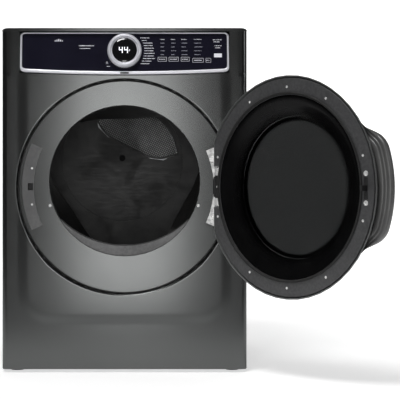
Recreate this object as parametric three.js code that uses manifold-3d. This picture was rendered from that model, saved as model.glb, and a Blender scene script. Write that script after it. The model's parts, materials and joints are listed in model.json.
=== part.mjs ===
// A front-loading, vented electric clothes dryer with its door standing open, in millimetres.
// +X is to the right as one faces the machine, +Y runs from the front to the back and +Z is up.
// The origin is on the floor under the middle of the cabinet.
// The door is modelled shut and its group is then turned open on the hinge pin.

import * as THREE from "three";
import { mergeVertices } from "three/addons/utils/BufferGeometryUtils.js";
import Module from "manifold-3d";

const wasm = await Module();
wasm.setup();

// ---------- driving dimensions ----------

const HALF_WIDTH = 343; // cabinet, 27 inches wide
const TOP_Z = 965; // top panel, 38 inches high
const BASE_Z = 7; // underside of the base pan, with the feet screwed fully in
const FRONT_Y = -370; // foremost line of the front panel
const SIDE_FRONT_Y = -324.5; // front edge of the side panels
const BACK_Y = 371; // rear edge of the side panels
const SHEET = 1.6; // thickness of every pressed sheet
const GAP = 0.4; // assembly gap between pieces that touch on the real machine

const DOOR_Z = 520; // height of the round door's centre
const RECESS_R = 302; // round recess in the front panel that the door closes into
const SEAT_R = 289; // seat inside the recess, with a sunken channel round it
const SEAT = 20; // how far the seat lies behind the front panel
const THROAT_R = 213; // loading opening
const DRUM_Z = 537; // height of the drum's axis and of the loading opening

const HINGE_X = 263; // door hinge pin
const HINGE_Y = FRONT_Y + 3.5;
const DOOR_OPEN = THREE.MathUtils.degToRad(133); // how far the door stands open
const DOOR_FLAT_X = 270; // flat edge of the door beside its hinge
const DOOR_R = 299;
const DISH_R = 247; // sunken dish on the inside of the door

const DRUM_R = 318; // inside of the drum
const DRUM_FRONT_Y = -292;
const DRUM_BACK_Y = 308;
const BULKHEAD_FRONT_Y = -300; // front face of the steel front bulkhead
const BULKHEAD_REAR_Y = 316; // front face of the steel rear bulkhead
const BELT_Y = 20; // plane that the drive belt runs in
const MOTOR_X = 130; // motor shaft, which also carries the blower wheel
const MOTOR_Z = 115;

const CONSOLE_Z = 833; // lower edge of the leaning control panel
const CONSOLE_HEIGHT = 125;
const CONSOLE_TILT = THREE.MathUtils.degToRad(8);

// ---------- materials ----------

const finish = (color, roughness, metalness) =>
  new THREE.MeshStandardMaterial({ color, roughness, metalness });
const titaniumPaint = finish(0x6f7071, 0.38, 0.6);
const charcoalPlastic = finish(0x38393b, 0.55, 0);
const greyPlastic = finish(0x5c5d5e, 0.5, 0);
const blackPlastic = finish(0x121314, 0.5, 0);
const smokedGlass = finish(0x0b0c0d, 0.08, 0);
const nightBlueGloss = finish(0x14141f, 0.12, 0);
const chrome = finish(0xd4d2da, 0.12, 1);
const zincSteel = finish(0xb9bbbc, 0.35, 1);
const galvanised = finish(0x8f9395, 0.45, 0.9);
const drumSteel = finish(0x2c2d2d, 0.5, 0.7);
const vanePlastic = finish(0x2a2b2b, 0.5, 0);
const rubber = finish(0x0e0e0e, 0.85, 0);

// ---------- solids ----------

const bare = (geometry) => {
  const loose = geometry.index ? geometry.toNonIndexed() : geometry.clone();
  loose.deleteAttribute("normal");
  loose.deleteAttribute("uv");
  return mergeVertices(loose, 1e-3);
};

const solidOf = (geometry) => {
  const merged = bare(geometry);
  return new wasm.Manifold(
    new wasm.Mesh({
      numProp: 3,
      vertProperties: merged.attributes.position.array,
      triVerts: new Uint32Array(merged.index.array),
    }),
  );
};

const geometryOf = (solid) => {
  const mesh = solid.getMesh();
  const geometry = new THREE.BufferGeometry();
  geometry.setAttribute("position", new THREE.BufferAttribute(mesh.vertProperties, 3));
  geometry.setIndex(new THREE.BufferAttribute(mesh.triVerts, 1));
  geometry.computeVertexNormals();
  return geometry;
};

const join = (...parts) => geometryOf(parts.map(solidOf).reduce((a, b) => a.add(b)));
const cut = (body, ...tools) =>
  geometryOf(tools.map(solidOf).reduce((a, b) => a.subtract(b), solidOf(body)));
const common = (a, b) => geometryOf(solidOf(a).intersect(solidOf(b)));

// Turns a closed surface the right way out.
const facingOut = (geometry) => {
  const merged = bare(geometry);
  const at = merged.attributes.position;
  const index = merged.index.array;
  const [a, b, c] = [new THREE.Vector3(), new THREE.Vector3(), new THREE.Vector3()];
  let volume = 0;
  for (let i = 0; i < index.length; i += 3) {
    a.fromBufferAttribute(at, index[i]);
    b.fromBufferAttribute(at, index[i + 1]);
    c.fromBufferAttribute(at, index[i + 2]);
    volume += a.dot(b.cross(c));
  }
  if (volume < 0)
    for (let i = 0; i < index.length; i += 3)
      [index[i + 1], index[i + 2]] = [index[i + 2], index[i + 1]];
  merged.computeVertexNormals();
  return merged;
};

// A box given by its lowest and highest corners.
const block = (x0, x1, y0, y1, z0, z1) =>
  new THREE.BoxGeometry(x1 - x0, y1 - y0, z1 - z0).translate(
    (x0 + x1) / 2,
    (y0 + y1) / 2,
    (z0 + z1) / 2,
  );

// A solid turned round the Y axis. The profile is a list of [radius, y] and closes on itself.
const turned = (profile, segments = 48) => {
  const points = profile.map(([r, y]) => new THREE.Vector2(r, y));
  points.push(points[0].clone());
  return facingOut(new THREE.LatheGeometry(points, segments));
};

// A disc or tube along Y, from y0 to y1.
const alongY = (r, y0, y1, segments = 26, bore = 0) =>
  bore
    ? turned([[bore, y0], [r, y0], [r, y1], [bore, y1]], segments)
    : new THREE.CylinderGeometry(r, r, y1 - y0, segments).translate(0, (y0 + y1) / 2, 0);

// A disc or tube along Z, from z0 to z1.
const alongZ = (r, z0, z1, segments = 20, bore = 0) =>
  alongY(r, z0, z1, segments, bore).rotateX(Math.PI / 2);

// A flat shape drawn as seen from the front.
// Its back is at y = 0 and it is `depth` thick towards the front.
const facingFront = (shape, depth, curveSegments = 12) =>
  new THREE.ExtrudeGeometry(shape, { depth, bevelEnabled: false, curveSegments }).rotateX(
    Math.PI / 2,
  );

const circle = (r, x = 0, y = 0) => new THREE.Path().absarc(x, y, r, 0, 2 * Math.PI, false);

const disc = (r, ...holes) => {
  const shape = new THREE.Shape().absarc(0, 0, r, 0, 2 * Math.PI, false);
  shape.holes.push(...holes);
  return shape;
};

const roundedRectangle = (w, h, r, Kind = THREE.Shape) => {
  const [x, y] = [w / 2 - r, h / 2 - r];
  return new Kind()
    .absarc(x, y, r, 0, Math.PI / 2, false)
    .absarc(-x, y, r, Math.PI / 2, Math.PI, false)
    .absarc(-x, -y, r, Math.PI, 1.5 * Math.PI, false)
    .absarc(x, -y, r, 1.5 * Math.PI, 2 * Math.PI, false)
    .closePath();
};

// Part of a ring between two radii, centred on `middle` and reaching `half` to each side.
const sector = (r0, r1, middle, half) =>
  new THREE.Shape()
    .absarc(0, 0, r1, middle - half, middle + half, false)
    .absarc(0, 0, r0, middle + half, middle - half, true)
    .closePath();

// A closed surface through a row of rings, each a list of [x, y, z] points, with both ends capped.
const lofted = (rings) => {
  const n = rings[0].length;
  const middle = (ring) => [0, 1, 2].map((k) => ring.reduce((sum, p) => sum + p[k], 0) / n);
  const points = [...rings.flat(), middle(rings[0]), middle(rings[rings.length - 1])];
  const index = [];
  for (let j = 0; j < rings.length - 1; j++)
    for (let i = 0; i < n; i++) {
      const [a, b] = [j * n + i, j * n + ((i + 1) % n)];
      index.push(a, b, b + n, a, b + n, a + n);
    }
  const [first, last, end] = [points.length - 2, points.length - 1, (rings.length - 1) * n];
  for (let i = 0; i < n; i++)
    index.push(first, (i + 1) % n, i, last, end + i, end + ((i + 1) % n));
  const geometry = new THREE.BufferGeometry();
  geometry.setAttribute("position", new THREE.Float32BufferAttribute(points.flat(), 3));
  geometry.setIndex(index);
  return facingOut(geometry);
};

// Points of an elliptical arc from angle a to angle b, both ends included.
const arc = (x, y, rx, ry, a, b, steps) =>
  Array.from({ length: steps + 1 }, (_, i) => {
    const t = a + ((b - a) * i) / steps;
    return [x + rx * Math.cos(t), y + ry * Math.sin(t)];
  });

const polygon = (points) => new THREE.Shape(points.map(([x, y]) => new THREE.Vector2(x, y)));

const { degToRad } = THREE.MathUtils;
const root = new THREE.Group();

const add = (name, geometry, material, x = 0, y = 0, z = 0, parent = root) => {
  const mesh = new THREE.Mesh(geometry, material);
  mesh.name = name;
  mesh.position.set(x, y, z);
  parent.add(mesh);
  return mesh;
};

// ---------- cabinet ----------

const footPlaces = [
  ["front_left", -305, -300],
  ["front_right", 305, -300],
  ["rear_left", -305, 325],
  ["rear_right", 305, 325],
];
const FOOT_STEM_R = 5;

// A shallow tray with a cup pressed up over each foot, which also carries the idler arm's pivot.
function addBasePan(idlerPivot) {
  const [x, y0, y1, top] = [340.8, -355, 370, 52];
  const tray = cut(
    block(-x, x, y0, y1, BASE_Z, top),
    block(-x + SHEET, x - SHEET, y0 + SHEET, y1 - SHEET, BASE_Z + SHEET, top + 1),
  );
  const at = (r, z0, z1) => footPlaces.map(([, fx, fy]) => alongZ(r, z0, z1, 20).translate(fx, fy, 0));
  const cups = at(24, BASE_Z, 15.5);
  const hollows = at(22, BASE_Z - 1, 13.5);
  const stemHoles = at(FOOT_STEM_R + GAP, BASE_Z, 20);
  const ductNotch = alongY(EXHAUST_R + 4, 360, 380).translate(0, 0, EXHAUST_Z);
  const pan = cut(join(tray, ...cups, idlerPivot), ...hollows, ...stemHoles, ductNotch);
  add("base_pan", pan, galvanised);
}

function addFeet() {
  const foot = join(alongZ(19, 0, 11), alongZ(FOOT_STEM_R, 10, 44, 16));
  for (const [place, x, y] of footPlaces) add(place + "_foot", foot, rubber, x, y, 0);
}

// Each side is a sheet with a flange folded inwards at the front and the back.
function addSidePanels() {
  const [x, flange, panTop] = [HALF_WIDTH, 18, 53];
  const section = polygon([
    [-x, SIDE_FRONT_Y],
    [-x + flange, SIDE_FRONT_Y],
    [-x + flange, SIDE_FRONT_Y + SHEET],
    [-x + SHEET, SIDE_FRONT_Y + SHEET],
    [-x + SHEET, BACK_Y - SHEET],
    [-x + flange, BACK_Y - SHEET],
    [-x + flange, BACK_Y],
    [-x, BACK_Y],
  ]);
  const folded = new THREE.ExtrudeGeometry(section, { depth: 955.6 - panTop, bevelEnabled: false });
  const skirt = block(-x, -x + SHEET, SIDE_FRONT_Y, BACK_Y, 9, panTop + 1);
  const panel = join(folded.translate(0, 0, panTop), skirt);
  add("left_side_panel", panel, titaniumPaint);
  add("right_side_panel", facingOut(panel.clone().scale(-1, 1, 1)), titaniumPaint);
}

const EXHAUST_Z = 72;
const EXHAUST_R = 51;
const VALVE_X = -235;
const VALVE_Z = 120;
const REAR_Y = BACK_Y + GAP + SHEET;

function addRearPanel() {
  const plate = polygon([[-341, 12], [341, 12], [341, 955], [-341, 955]]);
  plate.holes.push(circle(EXHAUST_R + 5, 0, EXHAUST_Z), circle(17, VALVE_X, VALVE_Z));
  const louvre = roundedRectangle(110, 9, 4.4).getPoints(2);
  for (const x of [-150, 150])
    for (const z of [240, 262])
      plate.holes.push(new THREE.Path(louvre.map((p) => p.clone().add(new THREE.Vector2(x, z)))));
  add("rear_panel", facingFront(plate, SHEET, 12), galvanised, 0, REAR_Y, 0);
  const cover = cut(
    join(block(-55, 55, 0, 30, -50, 50), block(-66, 66, 0, 2, -60, 60)),
    block(-53, 53, -1, 28, -48, 48),
    alongZ(9, -60, -40).translate(0, 15, 0),
  );
  const gland = alongZ(12.5, -57, -46.5, 20, 9.7).translate(0, 15, 0);
  add("terminal_cover", join(cover, gland), galvanised, 225, REAR_Y + GAP, 800);
}

// The top is a shallow lid whose sides curve over.
function addTopPanel() {
  const outline = (inset) => {
    const [x, z] = [HALF_WIDTH - inset, TOP_Z - inset];
    const [rx, rz] = [17 - inset, 8 - inset];
    const right = arc(x - rx, z - rz, rx, rz, 0, Math.PI / 2, 5);
    const left = arc(-x + rx, z - rz, rx, rz, Math.PI / 2, Math.PI, 5);
    const under = CONSOLE_Z + CONSOLE_HEIGHT - 2 - inset;
    return polygon([[x, under], ...right, ...left, [-x, under]]);
  };
  const [y0, y1] = [FRONT_Y + 3, BACK_Y + 3];
  const outside = facingFront(outline(0), y1 - y0).translate(0, y1, 0);
  const inside = facingFront(outline(1.8), y1 - y0 - 4).translate(0, y1 - 2, 0);
  add("top_panel", cut(outside, inside), titaniumPaint);
}

// The front is one pressing with rounded vertical edges.
// It has a round recess with a deep lip and a window for the controls.
function addFrontPanel() {
  const [x, r] = [HALF_WIDTH, 14];
  const bend = (inset, turnedOver) => {
    const right = arc(x - r, FRONT_Y + r, r - inset, r - inset, 0, -Math.PI / 2, 6);
    const left = arc(-x + r, FRONT_Y + r, r - inset, r - inset, -Math.PI / 2, -Math.PI, 6);
    const path = [[x - inset, SIDE_FRONT_Y - GAP], ...right, ...left, [-x + inset, SIDE_FRONT_Y - GAP]];
    return turnedOver ? path.reverse() : path;
  };
  const section = polygon([...bend(0, false), ...bend(SHEET, true)]);
  const sheet = new THREE.ExtrudeGeometry(section, { depth: 946.5, bevelEnabled: false });
  const recess = alongY(RECESS_R, FRONT_Y - 1, FRONT_Y + 10, 52).translate(0, 0, DOOR_Z);
  const opening = facingFront(bowed(293.8, 840.4, 954.4, 12, 8), 20).translate(0, FRONT_Y + 10, 0);
  const lip = alongY(RECESS_R + SHEET, FRONT_Y + 0.2, FRONT_Y + 36, 52, RECESS_R);
  const pressed = cut(facingOut(sheet).translate(0, 0, 9), recess, opening);
  add("front_panel", join(pressed, lip.translate(0, 0, DOOR_Z)), titaniumPaint);
}

// ---------- loading opening ----------

const depth = (d) => FRONT_Y + d; // a distance behind the front panel
const POCKET = degToRad(25); // half the angle of the latch cover and of the hinge pocket

const onSeat = (shape, from, to, segments = 16) =>
  facingFront(shape, to - from, segments).translate(0, depth(to), DOOR_Z);

const latchSlot = (from, to) =>
  block(-272, -258, depth(from), depth(to), DOOR_Z - 10, DOOR_Z + 10);

const filterSlot = (z0, z1) => block(-92, 92, depth(40), depth(64), z0, z1);

// The sheet at the bottom of the recess, with a deep pocket for the hinge and a window for the latch.
function addSeatRing() {
  const [r, wall] = [RECESS_R - GAP, 2];
  const disc = alongY(r, depth(SEAT), depth(SEAT + wall), 52).translate(0, 0, DOOR_Z);
  const throat = alongY(THROAT_R, depth(10), depth(80), 48).translate(0, 0, DRUM_Z);
  const pocketWalls = onSeat(sector(247, r - 0.6, 0, POCKET + 0.01), SEAT, 34);
  const pocket = onSeat(sector(249, 300, 0, POCKET), SEAT - 1, 32);
  const latchWindow = block(-280, -258, depth(10), depth(40), DOOR_Z - 22, DOOR_Z + 22);
  const ring = cut(join(cut(disc, throat), pocketWalls), pocket, latchWindow);
  add("door_seat_ring", ring, titaniumPaint);
  const collar = alongY(THROAT_R + wall, depth(SEAT + wall + GAP), depth(88), 48, THROAT_R);
  const slot = filterSlot(300, 346);
  add("throat_collar", cut(collar.translate(0, 0, DRUM_Z), slot), titaniumPaint);
}

function addLatch() {
  const plate = onSeat(sector(256, SEAT_R - 1, Math.PI, POCKET), SEAT - 3, SEAT - GAP);
  add("latch_cover", cut(plate, latchSlot(10, 30)), greyPlastic);
  const box = block(-284, -246, depth(SEAT + 2.4), depth(52), DOOR_Z - 24, DOOR_Z + 24);
  add("door_latch", cut(box, latchSlot(10, 46)), blackPlastic);
}

// A crescent across the foot of the opening, which holds the lint filter.
const LIP_R = 259;
const LIP_Z = 612;

function addFilterHousing() {
  const [y0, y1] = [depth(SEAT + 4), depth(86)];
  const full = alongY(THROAT_R - 0.8, y0, y1, 48).translate(0, 0, DRUM_Z);
  const above = alongY(LIP_R, y0 - 5, y1 + 5, 72).translate(0, 0, LIP_Z);
  const bridge = block(-96, 96, depth(37), depth(67), 322, 334);
  const housing = cut(join(cut(full, above), common(bridge, full)), filterSlot(300, 400));
  add("filter_housing", housing, greyPlastic);
  const frame = cut(
    block(-90, 90, depth(44), depth(60), 224, 356),
    block(-82, 82, depth(40), depth(57.5), 232, 340),
    block(-40, 40, depth(40), depth(50), 345, 352),
  );
  add("lint_filter", frame, charcoalPlastic);
}

// The duct that carries air from the lint filter down to the blower.
function addLintDuct() {
  const outline = (inset) => polygon([
    [-100 + inset, 322.5 + inset * 2],
    [-100 + inset, 210 + inset],
    [60 + inset, 58 + inset],
    [200 - inset, 58 + inset],
    [200 - inset, 210],
    [100 - inset, 322.5 + inset * 2],
  ]);
  const [y0, y1] = [depth(36.5), depth(68.5)];
  const outside = facingFront(outline(0), y1 - y0).translate(0, y1, 0);
  const inside = facingFront(outline(2), y1 - y0 - 4).translate(0, y1 - 2, 0);
  const collar = alongY(THROAT_R + 2.6, y0 - 2, y1 + 2, 48).translate(0, 0, DRUM_Z);
  const outlet = alongY(52, y1 - 10, y1 + 5).translate(MOTOR_X, 0, MOTOR_Z);
  add("lint_duct", cut(outside, inside, collar, outlet), galvanised);
}

// ---------- hinge on the cabinet ----------

const knuckle = (z0, z1, r = 9) =>
  alongZ(r, z0, z1, 20).translate(HINGE_X, HINGE_Y, DOOR_Z);
const pinBore = () => knuckle(-80, 80, 4.4);

function addHinge() {
  const plate = common(
    onSeat(sector(251, 300, 0, POCKET - 0.02), 28, 31),
    block(200, 272, depth(20), depth(40), 300, 700),
  );
  const arms = [-52, 32].map((z) =>
    block(HINGE_X - 9, HINGE_X + 9, HINGE_Y, depth(29), DOOR_Z + z, DOOR_Z + z + 20));
  const pin = knuckle(-56, 56, 4);
  add("hinge_frame_leaf", join(plate, ...arms, knuckle(32, 52), knuckle(-52, -32), pin), zincSteel);
}

// ---------- door, modelled shut ----------

const doorPivot = new THREE.Group();
doorPivot.position.set(HINGE_X, HINGE_Y, 0);
doorPivot.rotation.z = DOOR_OPEN;
root.add(doorPivot);
const door = new THREE.Group();
door.position.set(-HINGE_X, -HINGE_Y, 0);
doorPivot.add(door);

const DOOR_BACK = 14; // inner face of the door, behind the front panel
const addToDoor = (name, geometry, material) => add(name, geometry, material, 0, 0, 0, door);
const turnedOnDoor = (profile, segments = 48) =>
  turned(profile.map(([r, d]) => [r, depth(d)]), segments).translate(0, 0, DOOR_Z);

// Beyond this flat the door's round edge is cut away, with a deeper notch round the hinge.
const besideHinge = (inset) =>
  join(
    block(DOOR_FLAT_X - inset, 340, depth(-80), depth(60), DOOR_Z - 200, DOOR_Z + 200),
    block(252 - inset, 340, depth(-80), depth(60), DOOR_Z - 57 - inset, DOOR_Z + 57 + inset),
  );

const shellProfile = (inset) => {
  const edge = arc(DOOR_R - 60, DOOR_BACK, 60 - inset, 23 - inset, 0, -Math.PI / 2, 5);
  return [...edge, [222, -14 + inset], [205 + inset, -24 + inset]];
};

function addDoorShell() {
  const outside = [[205, -12.5], [212, -12.5], [212, DOOR_BACK], ...shellProfile(0)];
  const inside = [[208, DOOR_BACK + 1], [DOOR_R - 3, DOOR_BACK + 1], ...shellProfile(3)];
  const body = cut(turnedOnDoor(outside), besideHinge(0));
  const hollow = cut(turnedOnDoor(inside), besideHinge(3));
  addToDoor("door_outer_shell", cut(body, hollow), titaniumPaint);
  const trimProfile = [[192, -22], [204.6, -20], [204.6, -26], [200, -30], [194, -30]];
  addToDoor("door_trim_ring", turnedOnDoor(trimProfile), chrome);
  addToDoor(
    "door_window",
    turnedOnDoor([
      [0, -41],
      [80, -39.5],
      [140, -35],
      [191.6, -27],
      [191.6, -23],
      [140, -31],
      [80, -35.5],
      [0, -37],
    ]),
    smokedGlass,
  );
}

// A curved grip beyond the free edge, hollow on the side towards the cabinet.
function addHandle() {
  const half = degToRad(28);
  const grip = onSeat(sector(258, 323, Math.PI, half), -34, -4, 14);
  const fingers = onSeat(sector(303, 317, Math.PI, half - 0.06), -28, 0, 14);
  const behind = onSeat(sector(299.5, 330, Math.PI, half + 0.1), -12, 0, 14);
  const shell = turnedOnDoor([[190, DOOR_BACK], [DOOR_R + 0.5, DOOR_BACK], ...shellProfile(-0.4)]);
  addToDoor("door_handle", cut(grip, fingers, behind, shell), titaniumPaint);
}

function addDoorInside() {
  const [r, back] = [DOOR_R - 3.5, DOOR_BACK + 0.4];
  const ring = turnedOnDoor([[DISH_R, 8], [291.5, 8], [291.5, 13], [290.5, back], [DISH_R, back]]);
  const inset = turnedOnDoor([[230, 8], [r, 8], [r, back], [230, back]]);
  const flat = block(DOOR_FLAT_X - 3.4, 340, depth(-80), depth(60), DOOR_Z - 200, DOOR_Z + 200);
  const notch = block(248.6, 340, depth(-80), depth(60), DOOR_Z - 60.4, DOOR_Z + 60.4);
  const strikeHole = block(-271, -258, depth(0), depth(30), DOOR_Z - 28, DOOR_Z + 28);
  addToDoor("door_inner_ring", cut(common(ring, inset), flat, notch, strikeHole), charcoalPlastic);
  const dish = [
    [0, -8], [180, -8], [215, -4], [234, 5], [246.6, 13],
    [246.6, 9], [238, 3.5], [219, -7], [180, -11.5], [0, -11.5],
  ];
  addToDoor("door_dish", turnedOnDoor(dish), blackPlastic);
  const seal = [[247.6, 14.8], [254.5, 14.8], [254.5, 17], [252.5, 19.5], [249.6, 19.5], [247.6, 17]];
  addToDoor("door_seal", turnedOnDoor(seal), rubber);
}

function addStrikeAndLeaf() {
  const plate = block(-270.6, -258.4, depth(7.6), depth(13), DOOR_Z - 27.6, DOOR_Z + 27.6);
  const hook = join(
    block(-266.5, -263.5, depth(12), depth(38), DOOR_Z - 7, DOOR_Z + 7),
    block(-270, -263.5, depth(35), depth(38), DOOR_Z - 7, DOOR_Z + 7),
  );
  addToDoor("door_strike", join(plate, hook), zincSteel);
  const leaf = join(
    knuckle(-31.5, 31.5),
    block(252.4, HINGE_X, depth(-5), depth(12.5), DOOR_Z - 31.5, DOOR_Z + 31.5),
  );
  addToDoor("hinge_door_leaf", cut(leaf, pinBore()), blackPlastic);
}

// ---------- drum and bulkheads ----------

function addBulkheads() {
  const front = polygon([[-321, 190], [321, 190], [321, 850], [-321, 850]]);
  front.holes.push(circle(THROAT_R + 3, 0, DRUM_Z));
  add("front_bulkhead", facingFront(front, SHEET, 32), galvanised, 0, BULKHEAD_FRONT_Y + SHEET, 0);
  const y = BULKHEAD_REAR_Y;
  const rear = facingFront(polygon([[-321, 205], [321, 205], [321, 860], [-321, 860]]), SHEET);
  const dishWall = alongY(200, y, y + 14, 48, 198).translate(AIR_X, 0, AIR_Z);
  const floor = facingFront(disc(200), SHEET, 24).translate(AIR_X, y + 14, AIR_Z);
  const mouth = alongY(198.5, y - 5, y + 12, 48).translate(AIR_X, 0, AIR_Z);
  const grilleHole = grilleAt(1, y - 20, y + 30);
  const sheet = cut(join(rear.translate(0, y + SHEET, 0), dishWall, floor), mouth, grilleHole);
  const shafts = rollerPlaces.map(([, x, z]) => join(
    alongY(4, 262, y + 1, 16),
    alongY(8, 262, 270, 16),
    alongY(7, 294, y + 1, 16),
  ).translate(x, 0, z));
  add("rear_bulkhead", join(sheet, ...shafts), galvanised);
  add("vent_grille", cut(grilleAt(0.985, y + 10, y + 13)), drumSteel);
  const nozzle = join(alongY(6, y - 2, y + 11.8, 16), alongY(10, y + 8, y + 11.8, 16));
  add("steam_nozzle", nozzle, rubber, AIR_X, 0, AIR_Z + 8);
}

// The hot air comes in through a raised round area of the rear bulkhead.
// The upper part of this area is a slanting grille.
const AIR_X = -16;
const AIR_Z = 600;
const AIR_SLANT = degToRad(27);

function grilleAt(scale, y0, y1) {
  const right = arc(0, 0, 186, 186, degToRad(35), Math.PI / 2, 8);
  const left = arc(0, 0, 186, 186, Math.PI / 2, degToRad(145), 8).slice(1);
  const outline = [[78, 48], [120, 62], ...right, ...left, [-120, 62], [-78, 48]];
  const middle = 110;
  const scaled = outline.map(([x, z]) => [x * scale, middle + (z - middle) * scale]);
  return facingFront(polygon(scaled), y1 - y0)
    .rotateY(AIR_SLANT)
    .translate(AIR_X, y1, AIR_Z);
}

const ROLLER_R = 22;
const rollerPlaces = [["left", -1], ["right", 1]].map(([side, s]) => {
  const reach = DRUM_R + 1.2 + ROLLER_R + 0.5;
  return [side, s * reach * Math.sin(degToRad(34)), DRUM_Z - reach * Math.cos(degToRad(34))];
});

function addRollers() {
  for (const [side, x, z] of rollerPlaces) {
    add(side + "_roller", alongY(ROLLER_R, 272, 292, 24, 4.6), rubber, x, 0, z);
  }
}

// Sheet drum with a neck at the front and a rolled bead; the rear bulkhead closes its back.
function addDrum() {
  const [r, t] = [DRUM_R, 1.2];
  const outside = [
    [236, DRUM_FRONT_Y],
    [238 + t, DRUM_FRONT_Y],
    [238 + t, -284],
    [r - 14, -272],
    [r + t, -256],
    [r + t, 180], [r - 4 + t, 186], [r - 4 + t, 192], [r + t, 198],
    [r + t, DRUM_BACK_Y],
  ];
  const inside = [
    [r, DRUM_BACK_Y],
    [r, 198], [r - 4, 192], [r - 4, 186], [r, 180],
    [r, -255],
    [r - 15, -270.8],
    [236, -282.6],
  ];
  add("drum", turned([...outside, ...inside], 48), drumSteel, 0, 0, DRUM_Z);
}

// Each vane winds along the drum and is highest in the middle of its length.
const VANE_TWIST = degToRad(78);

function addVanes() {
  const [y0, y1, steps, base] = [-246, 296, 15, DRUM_R - 5];
  const ring = (u, start) => {
    const y = y0 + (y1 - y0) * u;
    const angle = start + VANE_TWIST * (u - 0.5);
    const height = 78 + 48 * Math.sin(Math.PI * u);
    return arc(0, 0, 46, height, 0, Math.PI, 10).map(([a, h]) => {
      const r = base - h;
      const turn = angle + (a / base) * (1 - (0.25 * h) / height);
      return [r * Math.cos(turn), y, r * Math.sin(turn)];
    });
  };
  ["first", "second", "third"].forEach((which, k) => {
    const start = degToRad(-32 + 120 * k);
    const rings = Array.from({ length: steps + 1 }, (_, j) => ring(j / steps, start));
    add(which + "_vane", lofted(rings), vanePlastic, 0, 0, DRUM_Z);
  });
}

// ---------- drive and blower ----------

const PULLEY_R = 12;
const IDLER_R = 18;
const outer = DRUM_R + 2.4;

// The straight run of a belt on one side of two circles, as its two ends.
const tangent = (ax, az, ar, bx, bz, br, side) => {
  const [dx, dz] = [bx - ax, bz - az];
  const reach = Math.hypot(dx, dz);
  const angle = Math.atan2(dz, dx) + side * Math.acos((ar - br) / reach);
  const [c, s] = [Math.cos(angle), Math.sin(angle)];
  return [[ax + ar * c, az + ar * s], [bx + br * c, bz + br * s], angle];
};

function addBelt() {
  const loop = (grow) => {
    const [ra, rb] = [outer + grow, PULLEY_R + GAP + grow];
    const [, , left] = tangent(0, DRUM_Z, ra, MOTOR_X, MOTOR_Z, rb, -1);
    const [, , right] = tangent(0, DRUM_Z, ra, MOTOR_X, MOTOR_Z, rb, 1);
    const over = arc(0, DRUM_Z, ra, ra, right, left + 2 * Math.PI, 36);
    const under = arc(MOTOR_X, MOTOR_Z, rb, rb, left, right, 12);
    return polygon([...over, ...under]);
  };
  const [y, half] = [BELT_Y, 4];
  const outside = facingFront(loop(2), 2 * half).translate(0, y + half, 0);
  const inside = facingFront(loop(0), 2 * half + 2).translate(0, y + half + 1, 0);
  add("drive_belt", cut(outside, inside), rubber);
}

function addIdler() {
  const grow = 2 + GAP;
  const run = tangent(0, DRUM_Z, outer + grow, MOTOR_X, MOTOR_Z, PULLEY_R + GAP + grow, -1);
  const [[ax, az], [bx, bz], angle] = run;
  const along = 0.62;
  const x = ax + (bx - ax) * along + IDLER_R * Math.cos(angle);
  const z = az + (bz - az) * along + IDLER_R * Math.sin(angle);
  add("idler_pulley", alongY(IDLER_R, BELT_Y - 6, BELT_Y + 6, 28, 4.5), blackPlastic, x, 0, z);
  const [px, pz, y] = [94, 100, BELT_Y + 8];
  const length = Math.hypot(px - x, pz - z);
  const bar = block(-9, 9, y, y + 4, 0, length)
    .rotateY(Math.atan2(px - x, pz - z))
    .translate(x, 0, z);
  const arm = join(
    bar,
    alongY(9, y, y + 4, 24).translate(x, 0, z),
    alongY(12, y, y + 4, 24).translate(px, 0, pz),
    alongY(4, BELT_Y - 8, y + 1, 16).translate(x, 0, z),
    alongY(7, BELT_Y - 9, BELT_Y - 6.4, 16).translate(x, 0, z),
  );
  add("idler_arm", cut(arm, alongY(4.5, y - 1, y + 5, 16).translate(px, 0, pz)), zincSteel);
  const pivot = join(
    alongY(4, y - 2, y + 16, 16).translate(px, 0, pz),
    alongY(8, y - 3, y - GAP, 16).translate(px, 0, pz),
    block(px - 14, px + 14, y + 4.4, y + 18, 8, pz + 12),
  );
  return pivot;
}

function addMotorAndBlower() {
  const [x, z] = [MOTOR_X, MOTOR_Z];
  const body = join(
    alongY(60, -150, -20, 40).translate(x, 0, z),
    alongY(28, -158, -12, 24).translate(x, 0, z),
    block(x - 55, x + 55, -130, -40, 9, z - 40),
  );
  add("drive_motor", cut(body, alongY(6.6, -170, 0, 20).translate(x, 0, z)), galvanised);
  const shaft = join(
    alongY(6, -250, 34, 20),
    alongY(PULLEY_R, BELT_Y - 6, BELT_Y + 6, 24),
    alongY(PULLEY_R + 4, BELT_Y + 6, BELT_Y + 8, 24),
    alongY(PULLEY_R + 4, BELT_Y - 8, BELT_Y - 6, 24),
  );
  const blade = block(20, 74, -250, -196, -1, 1);
  const blades = Array.from({ length: 12 }, (_, i) => blade.clone().rotateY((i * Math.PI) / 6));
  const wheel = join(alongY(76, -197, -193, 40), alongY(22, -250, -196, 24), ...blades);
  add("blower_wheel", join(wheel, shaft), blackPlastic, x, 0, z);
  const [y0, y1] = [-262, -182];
  const shell = (inset) => join(
    alongY(95 - inset, y0 + inset, y1 - inset, 48).translate(x, 0, z),
    block(-58 + inset, x, y0 + inset, y1 - inset, 20 + inset, 124 - inset),
  );
  const inlet = alongY(50, -300, y0 + 5, 32, 47).translate(x, 0, z);
  const housing = cut(
    join(shell(0), inlet),
    shell(2),
    alongY(47, -305, y0 + 4, 32).translate(x, 0, z),
    alongY(8, y1 - 10, y1 + 5, 20).translate(x, 0, z),
    alongY(EXHAUST_R - 3, y1 - 10, y1 + 5, 32).translate(0, 0, EXHAUST_Z),
  );
  add("blower_housing", housing, blackPlastic);
  add("exhaust_duct", alongY(EXHAUST_R, y1 + GAP, 408, 40, EXHAUST_R - 1.5), galvanised, 0, 0, EXHAUST_Z);
}

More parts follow.
